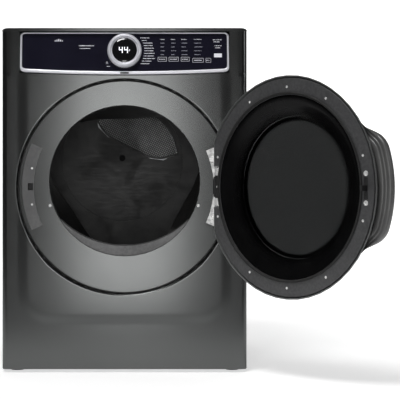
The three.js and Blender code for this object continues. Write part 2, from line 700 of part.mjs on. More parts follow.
// Hot air rises from the heater beside the drum through a flat duct behind the rear bulkhead.
function addHeater() {
  const box = cut(
    block(246, 336, -10, 300, 62, 236),
    block(248, 334, -12, 298, 64, 234),
    block(262, 320, 290, 310, 170, 220),
  );
  add("heater_housing", box, galvanised);
  const outline = (inset) => polygon([
    [-190 + inset, 560 + inset],
    [140, 560 + inset],
    [250 + inset, 160 + inset],
    [330 - inset, 160 + inset],
    [330 - inset, 520],
    [190, 790 - inset],
    [-190 + inset, 790 - inset],
  ]);
  const [y0, y1] = [331, 366];
  const outside = facingFront(outline(0), y1 - y0).translate(0, y1, 0);
  const inside = facingFront(outline(2), y1 - y0 - 4).translate(0, y1 - 2, 0);
  const inlet = block(262, 320, 320, 340, 170, 220);
  add("hot_air_duct", cut(outside, inside, grilleAt(0.97, y0 - 20, y0 + 10), inlet), galvanised);
}

function addWaterValve() {
  const body = join(
    block(-24, 24, 300, 352, -22, 26),
    alongY(13, 350, REAR_Y + 14, 20),
    alongY(15, 352, 364, 20),
    alongZ(16, 20, 60, 20).translate(0, 322, 0),
  );
  add("water_valve", cut(body, alongY(8, 360, 400, 20)), blackPlastic, VALVE_X, 0, VALVE_Z);
}

// ---------- controls ----------

// The console leans back, so it is built upright about the middle of its lower edge and then tilted.
const consoleGroup = new THREE.Group();
consoleGroup.position.set(0, depth(-5), CONSOLE_Z);
consoleGroup.rotation.x = -CONSOLE_TILT;
root.add(consoleGroup);

const DIAL_Z = 69;

// An outline with round corners whose lower edge bows down in the middle.
const bowed = (halfWidth, z0, z1, r, bow) => {
  const lower = Array.from({ length: 13 }, (_, i) => {
    const x = -halfWidth + r + ((2 * halfWidth - 2 * r) * i) / 12;
    return [x, z0 - bow * (1 - (x / halfWidth) ** 2)];
  });
  return polygon([
    ...lower,
    ...arc(halfWidth - r, z0 + r, r, r, -Math.PI / 2, 0, 4).slice(1),
    ...arc(halfWidth - r, z1 - r, r, r, 0, Math.PI / 2, 4),
    ...arc(-halfWidth + r, z1 - r, r, r, Math.PI / 2, Math.PI, 4),
    ...arc(-halfWidth + r, z0 + r, r, r, Math.PI, 1.5 * Math.PI, 4).slice(0, -1),
  ]);
};

const keys = [
  ["power", -49, 31, 10, 9],
  ["dryness", 105.7, 41, 26, 14],
  ["temperature", 137.8, 41, 28.5, 14],
  ["time", 170, 41, 25, 14],
  ["option", 206, 38, 32, 14],
  ["lock", 235, 38, 16, 14],
  ["start", 262, 52, 24, 13],
];

const keyCap = ([, x, z, w, h], grow, y0, y1) =>
  facingFront(roundedRectangle(w + grow, h + grow, 3), y1 - y0, 2).translate(x, y1, z + 4);

function addConsole() {
  const place = (name, geometry, material) => add(name, geometry, material, 0, 0, 0, consoleGroup);
  const trimOutline = bowed(293, 10, CONSOLE_HEIGHT - 3, 12, 8);
  const trimInside = bowed(287, 19, CONSOLE_HEIGHT - 6, 8, 8);
  const trim = cut(
    facingFront(trimOutline, 13).translate(0, 12, 0),
    facingFront(trimInside, 30).translate(0, 20, 0),
  );
  place("console_trim", trim, chrome);
  const holes = keys.map((key) => keyCap(key, 0.8, -5, 20));
  const glass = facingFront(bowed(286.6, 19.4, CONSOLE_HEIGHT - 6.4, 8, 8), 4).translate(0, 6, 0);
  const dialHole = alongY(22, -10, 20, 32).translate(0, 0, DIAL_Z);
  place("console_glass", cut(glass, ...holes, dialHole), nightBlueGloss);
  const tray = cut(
    block(-284, 284, 6.5, 40, 21, CONSOLE_HEIGHT - 14),
    block(-281, 281, 11, 42, 24, CONSOLE_HEIGHT - 17),
    ...holes,
    dialHole,
  );
  place("console_tray", tray, charcoalPlastic);
  const dial = turned([[35, -16], [43, -16], [47, -12], [48, -6], [48, 1.6], [44, 1.6], [44, -1], [35, -1]]);
  place("cycle_dial", dial.translate(0, 0, DIAL_Z), chrome);
  const lens = turned([[0, -11], [30, -11], [34.5, -9.5], [34.5, -3], [20, -3], [20, 14], [0, 14]], 36);
  place("dial_display", lens.translate(0, 0, DIAL_Z), smokedGlass);
  for (const key of keys) place(key[0] + "_key", keyCap(key, 0, 1.4, 9), nightBlueGloss);
}

addBasePan(addIdler());
addFeet();
addSidePanels();
addRearPanel();
addTopPanel();
addFrontPanel();
addSeatRing();
addLatch();
addFilterHousing();
addLintDuct();
addHinge();
addDoorShell();
addHandle();
addDoorInside();
addStrikeAndLeaf();
addBulkheads();
addRollers();
addDrum();
addVanes();
addBelt();
addMotorAndBlower();
addHeater();
addWaterValve();
addConsole();

export default root;
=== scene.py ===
# %% [markdown]
# # A front-loading clothes dryer
# This lesson dresses a packed mechanical model of a vented clothes dryer with its door standing open.
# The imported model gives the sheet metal, the drum and the mechanism, and it never moves or changes
# shape here. Each cell adds visible pieces: pressed steel, moulded plastic, glass, print and screws.
# The scene is in metres. The pieces are written in millimetres, as a drawing is, and scaled when they
# are made. +X is to the right as one faces the machine, +Y goes to its back and +Z is up.

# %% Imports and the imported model
import json
import math

import bpy
import numpy as np
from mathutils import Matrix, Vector


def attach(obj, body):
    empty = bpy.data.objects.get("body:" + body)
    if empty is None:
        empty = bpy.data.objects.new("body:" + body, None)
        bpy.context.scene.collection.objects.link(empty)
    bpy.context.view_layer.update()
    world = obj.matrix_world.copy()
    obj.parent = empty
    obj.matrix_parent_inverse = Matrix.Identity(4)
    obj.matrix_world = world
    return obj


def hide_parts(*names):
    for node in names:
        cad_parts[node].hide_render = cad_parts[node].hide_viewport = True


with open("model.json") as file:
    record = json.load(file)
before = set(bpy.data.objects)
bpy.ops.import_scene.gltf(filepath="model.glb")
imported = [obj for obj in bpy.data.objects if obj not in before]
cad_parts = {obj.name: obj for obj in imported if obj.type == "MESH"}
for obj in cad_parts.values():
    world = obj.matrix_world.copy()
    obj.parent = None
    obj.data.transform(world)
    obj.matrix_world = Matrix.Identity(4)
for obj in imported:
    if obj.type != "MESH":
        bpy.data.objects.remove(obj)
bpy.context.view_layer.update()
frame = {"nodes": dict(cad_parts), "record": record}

# %% [markdown]
# ## The few lengths that every piece shares
# The front panel's outer face lies at one depth, and everything in the opening is measured back from
# it. The door is described as if it were shut and is then turned on its hinge pin, because each of its
# parts is simplest to describe on an axis that runs straight from front to back.

# %% Shared lengths
MM = 0.001
FRONT_Y = -370.0
HALF_WIDTH, PANEL_LOW, PANEL_HIGH, BEND_R = 343.0, 9.0, 955.5, 14.0
RECESS_R = 302.0
DOOR_Z, DRUM_Z = 520.0, 537.0
HINGE_X, HINGE_Y, DOOR_OPEN = 263.0, FRONT_Y + 3.5, math.radians(133)
CONSOLE_ORIGIN = np.array([0.0, FRONT_Y - 5.0, 833.0])
CONSOLE_TILT = math.radians(8)
DIAL_Z = 69.0


def on_shut_door(points):
    """World points of points given with the door shut: p' = R(133 deg) (p - hinge) + hinge, about +Z."""
    c, s = math.cos(DOOR_OPEN), math.sin(DOOR_OPEN)
    x, y = points[..., 0] - HINGE_X, points[..., 1] - HINGE_Y
    return np.stack([HINGE_X + c * x - s * y, HINGE_Y + s * x + c * y, points[..., 2]], axis=-1)


def on_console(points):
    """World points of console points: p' = origin + (x, y cos t + z sin t, -y sin t + z cos t)."""
    c, s = math.cos(CONSOLE_TILT), math.sin(CONSOLE_TILT)
    x, y, z = points[..., 0], points[..., 1], points[..., 2]
    return CONSOLE_ORIGIN + np.stack([x, y * c + z * s, -y * s + z * c], axis=-1)


print("door opened by", round(math.degrees(DOOR_OPEN)), "degrees")

# %% [markdown]
# ## Turning arrays of points into meshes
# Every new piece is a rectangular array of points, so one function can make the faces of all of them.
# Rows or columns that come back to their start are joined up, which makes a ring or a tube. A solid of
# revolution is the outer product of a profile with the circle of angles.

# %% Mesh helpers
def mesh_object(name, points, faces, material, body="cabinet", smooth=30.0):
    """An object at the origin from points in millimetres and a list of faces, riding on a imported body."""
    mesh = bpy.data.meshes.new(name)
    mesh.from_pydata((np.asarray(points).reshape(-1, 3) * MM).tolist(), [], faces)
    mesh.validate()
    mesh.materials.append(material)
    mesh.shade_smooth()
    mesh.set_sharp_from_angle(angle=math.radians(smooth))
    obj = bpy.data.objects.new(name, mesh)
    bpy.context.scene.collection.objects.link(obj)
    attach(obj, body)
    return obj


def grid_faces(rows, columns, close_rows=False, close_columns=False, start=0, flip=False):
    """Quads (i, j), (i+1, j), (i+1, j+1), (i, j+1) of a rows x columns array of points."""
    i, j = np.meshgrid(
        np.arange(rows if close_rows else rows - 1),
        np.arange(columns if close_columns else columns - 1),
        indexing="ij",
    )
    i, j = i.ravel(), j.ravel()
    i2, j2 = (i + 1) % rows, (j + 1) % columns
    quads = np.stack([i * columns + j, i2 * columns + j, i2 * columns + j2, i * columns + j2], axis=1)
    if flip:
        quads = quads[:, ::-1]
    return (quads + start).tolist()


def revolved(profile, centre, segments=96):
    """Points (cx + r cos t, d, cz + r sin t) for profile points (r, d) and angles t, about a Y line."""
    r, d = np.asarray(profile, float).T
    t = np.linspace(0, 2 * np.pi, segments, endpoint=False)
    x = centre[0] + r[:, None] * np.cos(t)
    z = centre[1] + r[:, None] * np.sin(t)
    return np.stack([x, np.broadcast_to(d[:, None], x.shape), z], axis=-1)


def rounded(profile, radius, steps=4):
    """Each inner corner of the profile becomes a quadratic curve: (1-s)^2 a + 2s(1-s) corner + s^2 b."""
    pts = np.asarray(profile, float)
    out = [pts[0]]
    for a, p, b in zip(pts[:-2], pts[1:-1], pts[2:]):
        ra = min(radius, 0.45 * np.linalg.norm(a - p))
        rb = min(radius, 0.45 * np.linalg.norm(b - p))
        start = p + (a - p) / (np.linalg.norm(a - p) + 1e-9) * ra
        end = p + (b - p) / (np.linalg.norm(b - p) + 1e-9) * rb
        s = np.linspace(0, 1, steps + 1)[:, None]
        out.extend((1 - s) ** 2 * start + 2 * s * (1 - s) * p + s**2 * end)
    out.append(pts[-1])
    return np.array(out)


def turns_inwards(profile):
    """True if the signed area of the closed profile, half the sum of r1 d2 - r2 d1, is positive."""
    r, d = np.asarray(profile, float).T
    return float(np.sum(r * np.roll(d, -1) - np.roll(r, -1) * d)) > 0


print("mesh helpers ready")

# %% [markdown]
# ## Shared surface effects
# Real surfaces are never one flat colour. Six effects cover this machine: the orange peel of sprayed
# enamel, the grain of moulded plastic, the long scratches of rolled or brushed metal, smudges, dust,
# and rubbed edges. Each is a node group that is built once, takes the piece's own coordinates and gives
# back values, so a material can mix them and still own its shader.

# %% Building a node group
def new_group(name, inputs, outputs):
    """An empty shader group with named float or vector sockets, and its input and output nodes."""
    tree = bpy.data.node_groups.new(name, "ShaderNodeTree")
    for label, kind, value in inputs:
        socket = tree.interface.new_socket(label, in_out="INPUT", socket_type=kind)
        if value is not None:
            socket.default_value = value
    for label, kind in outputs:
        tree.interface.new_socket(label, in_out="OUTPUT", socket_type=kind)
    return tree, tree.nodes.new("NodeGroupInput"), tree.nodes.new("NodeGroupOutput")


def add_node(tree, kind, links=(), **settings):
    """A node with its settings, whose input sockets are wired to other sockets or set to constants."""
    node = tree.nodes.new(kind)
    for key, value in settings.items():
        setattr(node, key, value)
    for socket, source in dict(links).items():
        if isinstance(source, bpy.types.NodeSocket):
            tree.links.new(source, node.inputs[socket])
        else:
            node.inputs[socket].default_value = source
    return node


def math_node(tree, operation, a, b=0.0, clamp=False):
    """The result socket of one sum, product, power or comparison."""
    node = add_node(tree, "ShaderNodeMath", {0: a, 1: b}, operation=operation)
    node.use_clamp = clamp
    return node.outputs[0]


def remap(tree, value, low, high, to_low=0.0, to_high=1.0):
    """value taken from low..high to to_low..to_high with smooth ends."""
    links = {0: value, 1: low, 2: high, 3: to_low, 4: to_high}
    return add_node(tree, "ShaderNodeMapRange", links, interpolation_type="SMOOTHSTEP").outputs[0]


FLOAT, VECTOR = "NodeSocketFloat", "NodeSocketVector"
print("shader helpers ready")

# %% [markdown]
# ## Orange peel and moulded grain
# Sprayed enamel dries with a faint waviness, and a mould's etched wall leaves a fine grain on plastic.
# Both are noise at two sizes: one group makes either, with another size and another amount of detail.

# %% Orange peel and moulded grain
def make_texture_group(name, scale, detail):
    """Fractal noise at two sizes, given back as a height from 0 to 1 and as a bumped normal."""
    tree, gin, gout = new_group(
        name,
        [("Vector", VECTOR, None), ("Scale", FLOAT, scale), ("Strength", FLOAT, 0.1),
         ("Distance", FLOAT, 0.0003)],
        [("Height", FLOAT), ("Normal", VECTOR)],
    )
    size = {"Vector": gin.outputs["Vector"], "Scale": gin.outputs["Scale"], "Detail": detail,
            "Roughness": 0.55}
    coarse = add_node(tree, "ShaderNodeTexNoise", size)
    finer = math_node(tree, "MULTIPLY", gin.outputs["Scale"], 3.7)
    fine = add_node(tree, "ShaderNodeTexNoise", {**size, "Scale": finer})
    fine_share = math_node(tree, "MULTIPLY", fine.outputs["Fac"], 0.4)
    height = math_node(tree, "ADD", coarse.outputs["Fac"], fine_share)
    height = math_node(tree, "MULTIPLY", height, 0.7)
    bump = add_node(tree, "ShaderNodeBump", {
        "Height": height, "Strength": gin.outputs["Strength"], "Distance": gin.outputs["Distance"]})
    tree.links.new(height, gout.inputs["Height"])
    tree.links.new(bump.outputs["Normal"], gout.inputs["Normal"])
    return tree


ORANGE_PEEL = make_texture_group("Orange peel", 260.0, 2.0)
MOULDED_GRAIN = make_texture_group("Moulded grain", 900.0, 4.0)
print("groups:", ORANGE_PEEL.name, "and", MOULDED_GRAIN.name)

# %% [markdown]
# ## Brushed or rolled metal
# Rolling and brushing leave scratches that all run one way. Noise squeezed along one axis gives the
# same look, and the group hands back the scratch itself as well, so that a finish can be rougher where
# it is scratched.

# %% Brushed or rolled metal
def make_brushed_group():
    """Noise squeezed along one axis by Stretch, so that it reads as long fine scratches."""
    tree, gin, gout = new_group(
        "Brushed",
        [("Vector", VECTOR, None), ("Stretch", VECTOR, (1.0, 1.0, 40.0)), ("Scale", FLOAT, 60.0),
         ("Strength", FLOAT, 0.1)],
        [("Scratch", FLOAT), ("Normal", VECTOR)],
    )
    squeezed = add_node(tree, "ShaderNodeVectorMath", {0: gin.outputs["Vector"], 1: gin.outputs["Stretch"]},
                        operation="MULTIPLY")
    noise = add_node(tree, "ShaderNodeTexNoise", {
        "Vector": squeezed.outputs[0], "Scale": gin.outputs["Scale"], "Detail": 5.0, "Roughness": 0.65})
    bump = add_node(tree, "ShaderNodeBump", {
        "Height": noise.outputs["Fac"], "Strength": gin.outputs["Strength"], "Distance": 0.0002})
    tree.links.new(noise.outputs["Fac"], gout.inputs["Scratch"])
    tree.links.new(bump.outputs["Normal"], gout.inputs["Normal"])
    return tree


BRUSHED = make_brushed_group()
print("group:", BRUSHED.name)

# %% [markdown]
# ## Smudges, settled dust and rubbed edges
# Hands leave broad soft patches, dust lies on what faces up, and corners lose their coating first. The
# surface's own normal and its pointiness say where, and noise breaks each mask up so that it looks like
# use.

# %% Smudges, settled dust and rubbed edges
def make_smudge_group():
    """Broad soft patches from warped noise: 0 where wiped clean, 1 where handled."""
    tree, gin, gout = new_group(
        "Smudge", [("Vector", VECTOR, None), ("Scale", FLOAT, 9.0)], [("Smudge", FLOAT)])
    noise = add_node(tree, "ShaderNodeTexNoise", {
        "Vector": gin.outputs["Vector"], "Scale": gin.outputs["Scale"], "Detail": 6.0, "Distortion": 0.7})
    tree.links.new(remap(tree, noise.outputs["Fac"], 0.42, 0.68), gout.inputs["Smudge"])
    return tree


def make_dust_group():
    """Dust lies where the face looks up, broken by noise: clamp(normal z) ^ 2 * noise * Amount."""
    tree, gin, gout = new_group(
        "Dust", [("Vector", VECTOR, None), ("Amount", FLOAT, 0.3)], [("Dust", FLOAT)])
    facing = tree.nodes.new("ShaderNodeNewGeometry").outputs["Normal"]
    normal = add_node(tree, "ShaderNodeSeparateXYZ", {0: facing})
    upward = math_node(tree, "POWER", math_node(tree, "MAXIMUM", normal.outputs["Z"], 0.0), 2.0)
    noise = add_node(tree, "ShaderNodeTexNoise", {
        "Vector": gin.outputs["Vector"], "Scale": 55.0, "Detail": 7.0})
    speckle = remap(tree, noise.outputs["Fac"], 0.38, 0.7, 0.25, 1.0)
    settled = math_node(tree, "MULTIPLY", upward, speckle)
    dust = math_node(tree, "MULTIPLY", settled, gin.outputs["Amount"], True)
    tree.links.new(dust, gout.inputs["Dust"])
    return tree


def make_edge_group():
    """Rubbed edges: the mesh's pointiness above a threshold, broken by noise."""
    tree, gin, gout = new_group(
        "Edge wear", [("Vector", VECTOR, None), ("Amount", FLOAT, 0.5)], [("Edge", FLOAT)])
    pointed = tree.nodes.new("ShaderNodeNewGeometry").outputs["Pointiness"]
    noise = add_node(tree, "ShaderNodeTexNoise", {
        "Vector": gin.outputs["Vector"], "Scale": 140.0, "Detail": 5.0})
    broken = remap(tree, noise.outputs["Fac"], 0.35, 0.65)
    edge = math_node(tree, "MULTIPLY", remap(tree, pointed, 0.52, 0.6), broken)
    tree.links.new(math_node(tree, "MULTIPLY", edge, gin.outputs["Amount"], True), gout.inputs["Edge"])
    return tree


SMUDGE, DUST, EDGE_WEAR = make_smudge_group(), make_dust_group(), make_edge_group()
print("groups:", SMUDGE.name, DUST.name, EDGE_WEAR.name)

# %% [markdown]
# ## One recipe for every material
# A finish is a base colour and a second tone, a roughness range and a metalness, with the shared
# effects laid over it. Noise moves the colour between the two tones, smudges move the roughness, dust
# lightens what faces up and worn edges show a third tone. The coordinates are the piece's own, so the
# pattern stays on when it moves.

# %% The recipe
def use_group(tree, group, vector, **values):
    """The outputs of one shared effect, fed with coordinates and constants."""
    node = tree.nodes.new("ShaderNodeGroup")
    node.node_tree = group
    tree.links.new(vector, node.inputs["Vector"])
    for key, value in values.items():
        node.inputs[key].default_value = value
    return node.outputs


def mix_colour(tree, factor, a, b):
    """a (1 - factor) + b factor, as a colour socket."""
    links = {0: factor, 6: a, 7: b}
    return add_node(tree, "ShaderNodeMix", links, data_type="RGBA").outputs[2]


def finish(name, tones, rough, metal=0.0, texture=(ORANGE_PEEL, 260.0, 0.1), brushed=None,
           dust=0.2, worn=None, coat=0.0, ior=1.5, mottling=14.0):
    """A Principled material whose colour, roughness and normal all vary over the surface."""
    material = bpy.data.materials.new(name)
    material.use_nodes = True
    tree = material.node_tree
    tree.nodes.clear()
    out = tree.nodes.new("ShaderNodeOutputMaterial")
    shader = tree.nodes.new("ShaderNodeBsdfPrincipled")
    tree.links.new(shader.outputs[0], out.inputs[0])
    where = tree.nodes.new("ShaderNodeTexCoord").outputs["Object"]
    noise = add_node(tree, "ShaderNodeTexNoise", {"Vector": where, "Scale": mottling, "Detail": 5.0})
    tone = remap(tree, noise.outputs["Fac"], 0.3, 0.7)
    colour = mix_colour(tree, tone, (*tones[0], 1), (*tones[1], 1))
    if worn:
        edge = use_group(tree, EDGE_WEAR, where, Amount=0.6)["Edge"]
        colour = mix_colour(tree, edge, colour, (*worn, 1))
    if dust:
        settled = use_group(tree, DUST, where, Amount=dust)["Dust"]
        colour = mix_colour(tree, settled, colour, (0.42, 0.41, 0.39, 1))
    tree.links.new(colour, shader.inputs["Base Color"])
    smudge = use_group(tree, SMUDGE, where, Scale=9.0)["Smudge"]
    roughness = math_node(tree, "ADD", math_node(tree, "MULTIPLY", smudge, rough[1] - rough[0]), rough[0])
    if brushed:
        lines = use_group(tree, BRUSHED, where, Stretch=brushed[0], Scale=brushed[1], Strength=brushed[2])
        scratch = math_node(tree, "MULTIPLY", math_node(tree, "SUBTRACT", lines["Scratch"], 0.5), 0.25)
        roughness = math_node(tree, "ADD", roughness, scratch, True)
        tree.links.new(lines["Normal"], shader.inputs["Normal"])
    else:
        group, scale, strength = texture
        bumped = use_group(tree, group, where, Scale=scale, Strength=strength)
        tree.links.new(bumped["Normal"], shader.inputs["Normal"])
    tree.links.new(roughness, shader.inputs["Roughness"])
    shader.inputs["Metallic"].default_value = metal
    shader.inputs["IOR"].default_value = ior
    shader.inputs["Coat Weight"].default_value = coat
    shader.inputs["Coat Roughness"].default_value = 0.08
    return material


print("finish recipe ready")

# %% [markdown]
# ## The finishes of this machine
# Two tones close to each other keep a surface quiet, and wide ones suit galvanised sheet, whose
# crystals show. The front's enamel is nearly all metal flake, so it is metallic and shaded by what it
# reflects. Plastics have no metalness and a mid roughness, and the glass in front of the controls is
# almost black with a violet cast.

# %% The finishes of this machine
PAINT = finish("titanium enamel", ((0.1, 0.103, 0.102), (0.108, 0.111, 0.11)), (0.2, 0.21), 0.94,
               (ORANGE_PEEL, 420.0, 0.001), dust=0.02, coat=0.03, mottling=3.0)
SHELL_PAINT = finish("door enamel", ((0.2, 0.205, 0.205), (0.22, 0.225, 0.223)), (0.3, 0.34), 0.6,
                     (ORANGE_PEEL, 420.0, 0.05), dust=0.03, coat=0.2)
CHARCOAL = finish("charcoal plastic", ((0.05, 0.05, 0.052), (0.06, 0.06, 0.062)), (0.4, 0.48), 0.0,
                  (MOULDED_GRAIN, 900.0, 0.12), dust=0.06, worn=(0.09, 0.09, 0.092))
GREY_PLASTIC = finish("grey plastic", ((0.085, 0.085, 0.086), (0.1, 0.1, 0.101)), (0.36, 0.44), 0.0,
                      (MOULDED_GRAIN, 900.0, 0.12), dust=0.08, worn=(0.15, 0.15, 0.15))
BLACK_GLOSS = finish("gloss black dish", ((0.003, 0.003, 0.0032), (0.0045, 0.0045, 0.0047)),
                     (0.16, 0.22), 0.0, (ORANGE_PEEL, 180.0, 0.03), dust=0.01, ior=1.2)
BLACK_PLASTIC = finish("black plastic", ((0.009, 0.009, 0.0095), (0.014, 0.014, 0.015)), (0.45, 0.58), 0.0,
                       (MOULDED_GRAIN, 800.0, 0.2), worn=(0.03, 0.03, 0.03))
SMOKED = finish("smoked glass", ((0.006, 0.006, 0.007), (0.008, 0.008, 0.009)), (0.04, 0.1), 0.0,
                (ORANGE_PEEL, 90.0, 0.015), dust=0.05, coat=0.5)
CONSOLE_GLASS = finish("console glass", ((0.0085, 0.008, 0.017), (0.011, 0.0105, 0.021)), (0.1, 0.16), 0.0,
                       (ORANGE_PEEL, 120.0, 0.015), dust=0.04, coat=0.4)
CHROME = finish("chrome", ((0.72, 0.7, 0.78), (0.8, 0.78, 0.84)), (0.07, 0.14), 1.0,
                (ORANGE_PEEL, 160.0, 0.02), dust=0.04)
SATIN = finish("satin silver", ((0.8, 0.8, 0.86), (0.88, 0.88, 0.93)), (0.3, 0.38), 0.3,
               (ORANGE_PEEL, 300.0, 0.02), dust=0.02)
SCREW = finish("bright zinc", ((0.78, 0.78, 0.78), (0.88, 0.88, 0.86)), (0.26, 0.36), 0.35,
               (MOULDED_GRAIN, 500.0, 0.05), dust=0.03)
HINGE_STEEL = finish("hinge plating", ((0.3, 0.3, 0.3), (0.75, 0.75, 0.74)), (0.22, 0.45), 0.7,
                     brushed=((1.0, 1.0, 8.0), 60.0, 0.5), dust=0.06, worn=(0.9, 0.9, 0.88), mottling=90.0)
VANE_PLASTIC = finish("vane plastic", ((0.085, 0.085, 0.085), (0.11, 0.11, 0.108)), (0.3, 0.4), 0.0,
                      (MOULDED_GRAIN, 700.0, 0.08), dust=0.12, worn=(0.11, 0.11, 0.11))
ZINC = finish("zinc plate", ((0.5, 0.5, 0.5), (0.66, 0.66, 0.64)), (0.28, 0.42), 1.0,
              brushed=((1.0, 1.0, 30.0), 45.0, 0.16), dust=0.08, worn=(0.8, 0.8, 0.78))
GALVANISED = finish("galvanised sheet", ((0.3, 0.31, 0.32), (0.46, 0.47, 0.47)), (0.36, 0.52), 0.85,
                    brushed=((1.0, 1.0, 14.0), 30.0, 0.1), mottling=60.0)
DRUM_COAT = finish("drum coating", ((0.026, 0.026, 0.026), (0.036, 0.036, 0.035)), (0.34, 0.46), 0.35,
                   brushed=((1.0, 12.0, 1.0), 24.0, 0.12), dust=0.12, worn=(0.12, 0.12, 0.12))
RUBBER = finish("rubber", ((0.008, 0.008, 0.008), (0.014, 0.014, 0.014)), (0.7, 0.85), 0.0,
                (MOULDED_GRAIN, 600.0, 0.3), dust=0.15)
REAR_WALL = finish("drum back wall", ((0.03, 0.03, 0.03), (0.04, 0.04, 0.039)), (0.4, 0.5), 0.5,
                   brushed=((1.0, 1.0, 10.0), 26.0, 0.08), dust=0.1, mottling=30.0)
GRILLE_STEEL = finish("grille steel", ((0.045, 0.045, 0.045), (0.06, 0.06, 0.058)), (0.36, 0.46), 0.8,
                      brushed=((1.0, 1.0, 10.0), 60.0, 0.06), dust=0.1)
GRIP_PAINT = finish("grip paint", ((0.12, 0.12, 0.12), (0.14, 0.14, 0.138)), (0.4, 0.46), 0.4,
                    (ORANGE_PEEL, 420.0, 0.08), dust=0.08, worn=(0.2, 0.2, 0.2))
print("finishes made:", PAINT.name, "to", GRIP_PAINT.name)

# %% [markdown]
# ## Ink, light and clear plastic
# Print is a matt ink with a painted glow, a little light of its own so that it reads on the dark glass,
# and the number, which is a lit display, gets more. The bowl and the window are clear only in the middle
# of the door, so their material blends the dark finish with a tinted transparent one by the distance from
# that middle.

# %% Ink, light and clear plastic
def light_print(name, colour, strength):
    """Printed marks, a matt ink with a painted glow so that they read on the dark glass, or a lit display
    with light of its own.
    """
    shaded = tuple(0.94 * channel for channel in colour)
    material = finish(name, (shaded, colour), (0.45, 0.55), 0.0, (MOULDED_GRAIN, 1500.0, 0.05),
                      dust=0.0, mottling=300.0)
    shader = next(n for n in material.node_tree.nodes if n.type == "BSDF_PRINCIPLED")
    shader.inputs["Emission Color"].default_value = (*colour, 1)
    shader.inputs["Emission Strength"].default_value = strength
    return material


# Painted glow on the printed legends, which are no lamp; only the display's light is its own.
PRINT = light_print("white print", (0.75, 0.75, 0.8), 0.25)
PRINT_DIM = light_print("dim print", (0.4, 0.4, 0.46), 0.12)
DISPLAY_LIGHT = light_print("display light", (0.9, 0.92, 1.0), 1.2)


def see_through(name, base, clear_radius, soft, tint):
    """base with a clear middle: transparent up to clear_radius from the door's centre, with a soft edge."""
    material = base.copy()
    material.name = name
    tree = material.node_tree
    shader = next(n for n in tree.nodes if n.type == "BSDF_PRINCIPLED")
    out = next(n for n in tree.nodes if n.type == "OUTPUT_MATERIAL")
    where = next(n for n in tree.nodes if n.type == "TEX_COORD").outputs["Object"]
    centre = on_shut_door(np.array([0.0, FRONT_Y, DOOR_Z])) * MM
    offset = add_node(tree, "ShaderNodeVectorMath", {0: where, 1: tuple(centre)}, operation="SUBTRACT")
    reach = add_node(tree, "ShaderNodeVectorMath", {0: offset.outputs[0]}, operation="LENGTH")
    clear = remap(tree, reach.outputs["Value"], clear_radius - soft, clear_radius, 1.0, 0.0)
    glass = add_node(tree, "ShaderNodeBsdfTransparent", {0: (*tint, 1)})
    mixed = add_node(tree, "ShaderNodeMixShader", {0: clear, 1: shader.outputs[0], 2: glass.outputs[0]})
    tree.links.new(mixed.outputs[0], out.inputs[0])
    return material


BOWL = see_through("clear bowl", BLACK_GLOSS, 0.214, 0.04, (0.36, 0.365, 0.365))
WINDOW_GLASS = see_through("door window glass", SMOKED, 0.188, 0.01, (0.36, 0.36, 0.36))
print("see-through pieces:", BOWL.name, "and", WINDOW_GLASS.name)

# %% [markdown]
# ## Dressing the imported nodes
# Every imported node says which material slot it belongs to, so one table dresses most of the machine. A
# second table names the few nodes that differ from their slot, such as the drum's back wall. Shading is
# smooth, with an edge kept sharp wherever two faces meet at more than 28 degrees.

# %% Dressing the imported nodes
FINISH_OF_SLOT = {
    "titanium_paint": PAINT, "charcoal_plastic": CHARCOAL, "grey_plastic": GREY_PLASTIC,
    "black_gloss": BLACK_GLOSS, "black_plastic": BLACK_PLASTIC, "smoked_glass": SMOKED,
    "console_gloss": CONSOLE_GLASS, "chrome": CHROME, "zinc_steel": ZINC, "vane_plastic": VANE_PLASTIC,
    "galvanised": GALVANISED, "drum_steel": DRUM_COAT, "rubber": RUBBER,
}
FINISH_OF_NODE = {
    "rear_bulkhead": REAR_WALL, "front_bulkhead": REAR_WALL, "door_window": WINDOW_GLASS,
    "door_outer_shell": SHELL_PAINT, "door_strike": BLACK_PLASTIC, "console_trim": SATIN,
    "hinge_frame_leaf": HINGE_STEEL,
}
for part in frame["record"]["subparts"]:
    node = frame["nodes"][part["node"]]
    node.data.materials.clear()
    node.data.materials.append(FINISH_OF_NODE.get(part["node"]) or FINISH_OF_SLOT[part["material_slot"]])
    node.data.shade_smooth()
    node.data.set_sharp_from_angle(angle=math.radians(28))

# %% [markdown]
# ## The front panel as one pressing
# On the machine this is one steel sheet: its vertical edges roll back, a shallow field round the door
# is pressed out, with a soft crease that shows below the door, and the recess has a rolled lip. A
# single height field describes it all. Its points lie on rays from the recess to the outline, so the
# faces follow both. The strips beside the console take their depth from the same field, and flat
# returns run back from the rolled edges.

# %% Front panel
CONSOLE_FOOT, CONSOLE_BOW, WINDOW_HALF = 831.5, 8.0, 293.8


def smoothstep(x, low, high):
    """t^2 (3 - 2 t), where t = (x - low) / (high - low) held between 0 and 1."""
    t = np.clip((x - low) / (high - low), 0, 1)
    return t * t * (3 - 2 * t)


def field_distance(x, z, half_width, bottom, top, r):
    """Signed distance to a rounded rectangle: |max(q, 0)| + min(max(qx, qz), 0) - r, negative inside."""
    qx = np.abs(x) - half_width + r
    qz = np.abs(z - (bottom + top) / 2) - (top - bottom) / 2 + r
    return np.hypot(np.maximum(qx, 0), np.maximum(qz, 0)) + np.minimum(np.maximum(qx, qz), 0) - r


def panel_depth(x, z):
    """y of the face: a field raised 1.1 mm over a crease 34 mm wide, and edges rolled at r = 14 mm."""
    raised = 1.1 * smoothstep(-field_distance(x, z, 302, 132, 1200, 92), 0, 34)
    edge = np.clip(np.abs(x) - (HALF_WIDTH - BEND_R), 0, BEND_R)
    rolled = BEND_R - np.sqrt(np.maximum(BEND_R**2 - edge**2, 0))
    return FRONT_Y + 1.6 - raised + rolled


def square_ring(n):
    """Unit square border points by angle: (cos t, sin t) / max(|cos t|, |sin t|)."""
    t = np.linspace(0, 2 * np.pi, n, endpoint=False)
    c, s = np.cos(t), np.sin(t)
    return t, np.stack([c, s], axis=1) / np.maximum(np.abs(c), np.abs(s))[:, None]


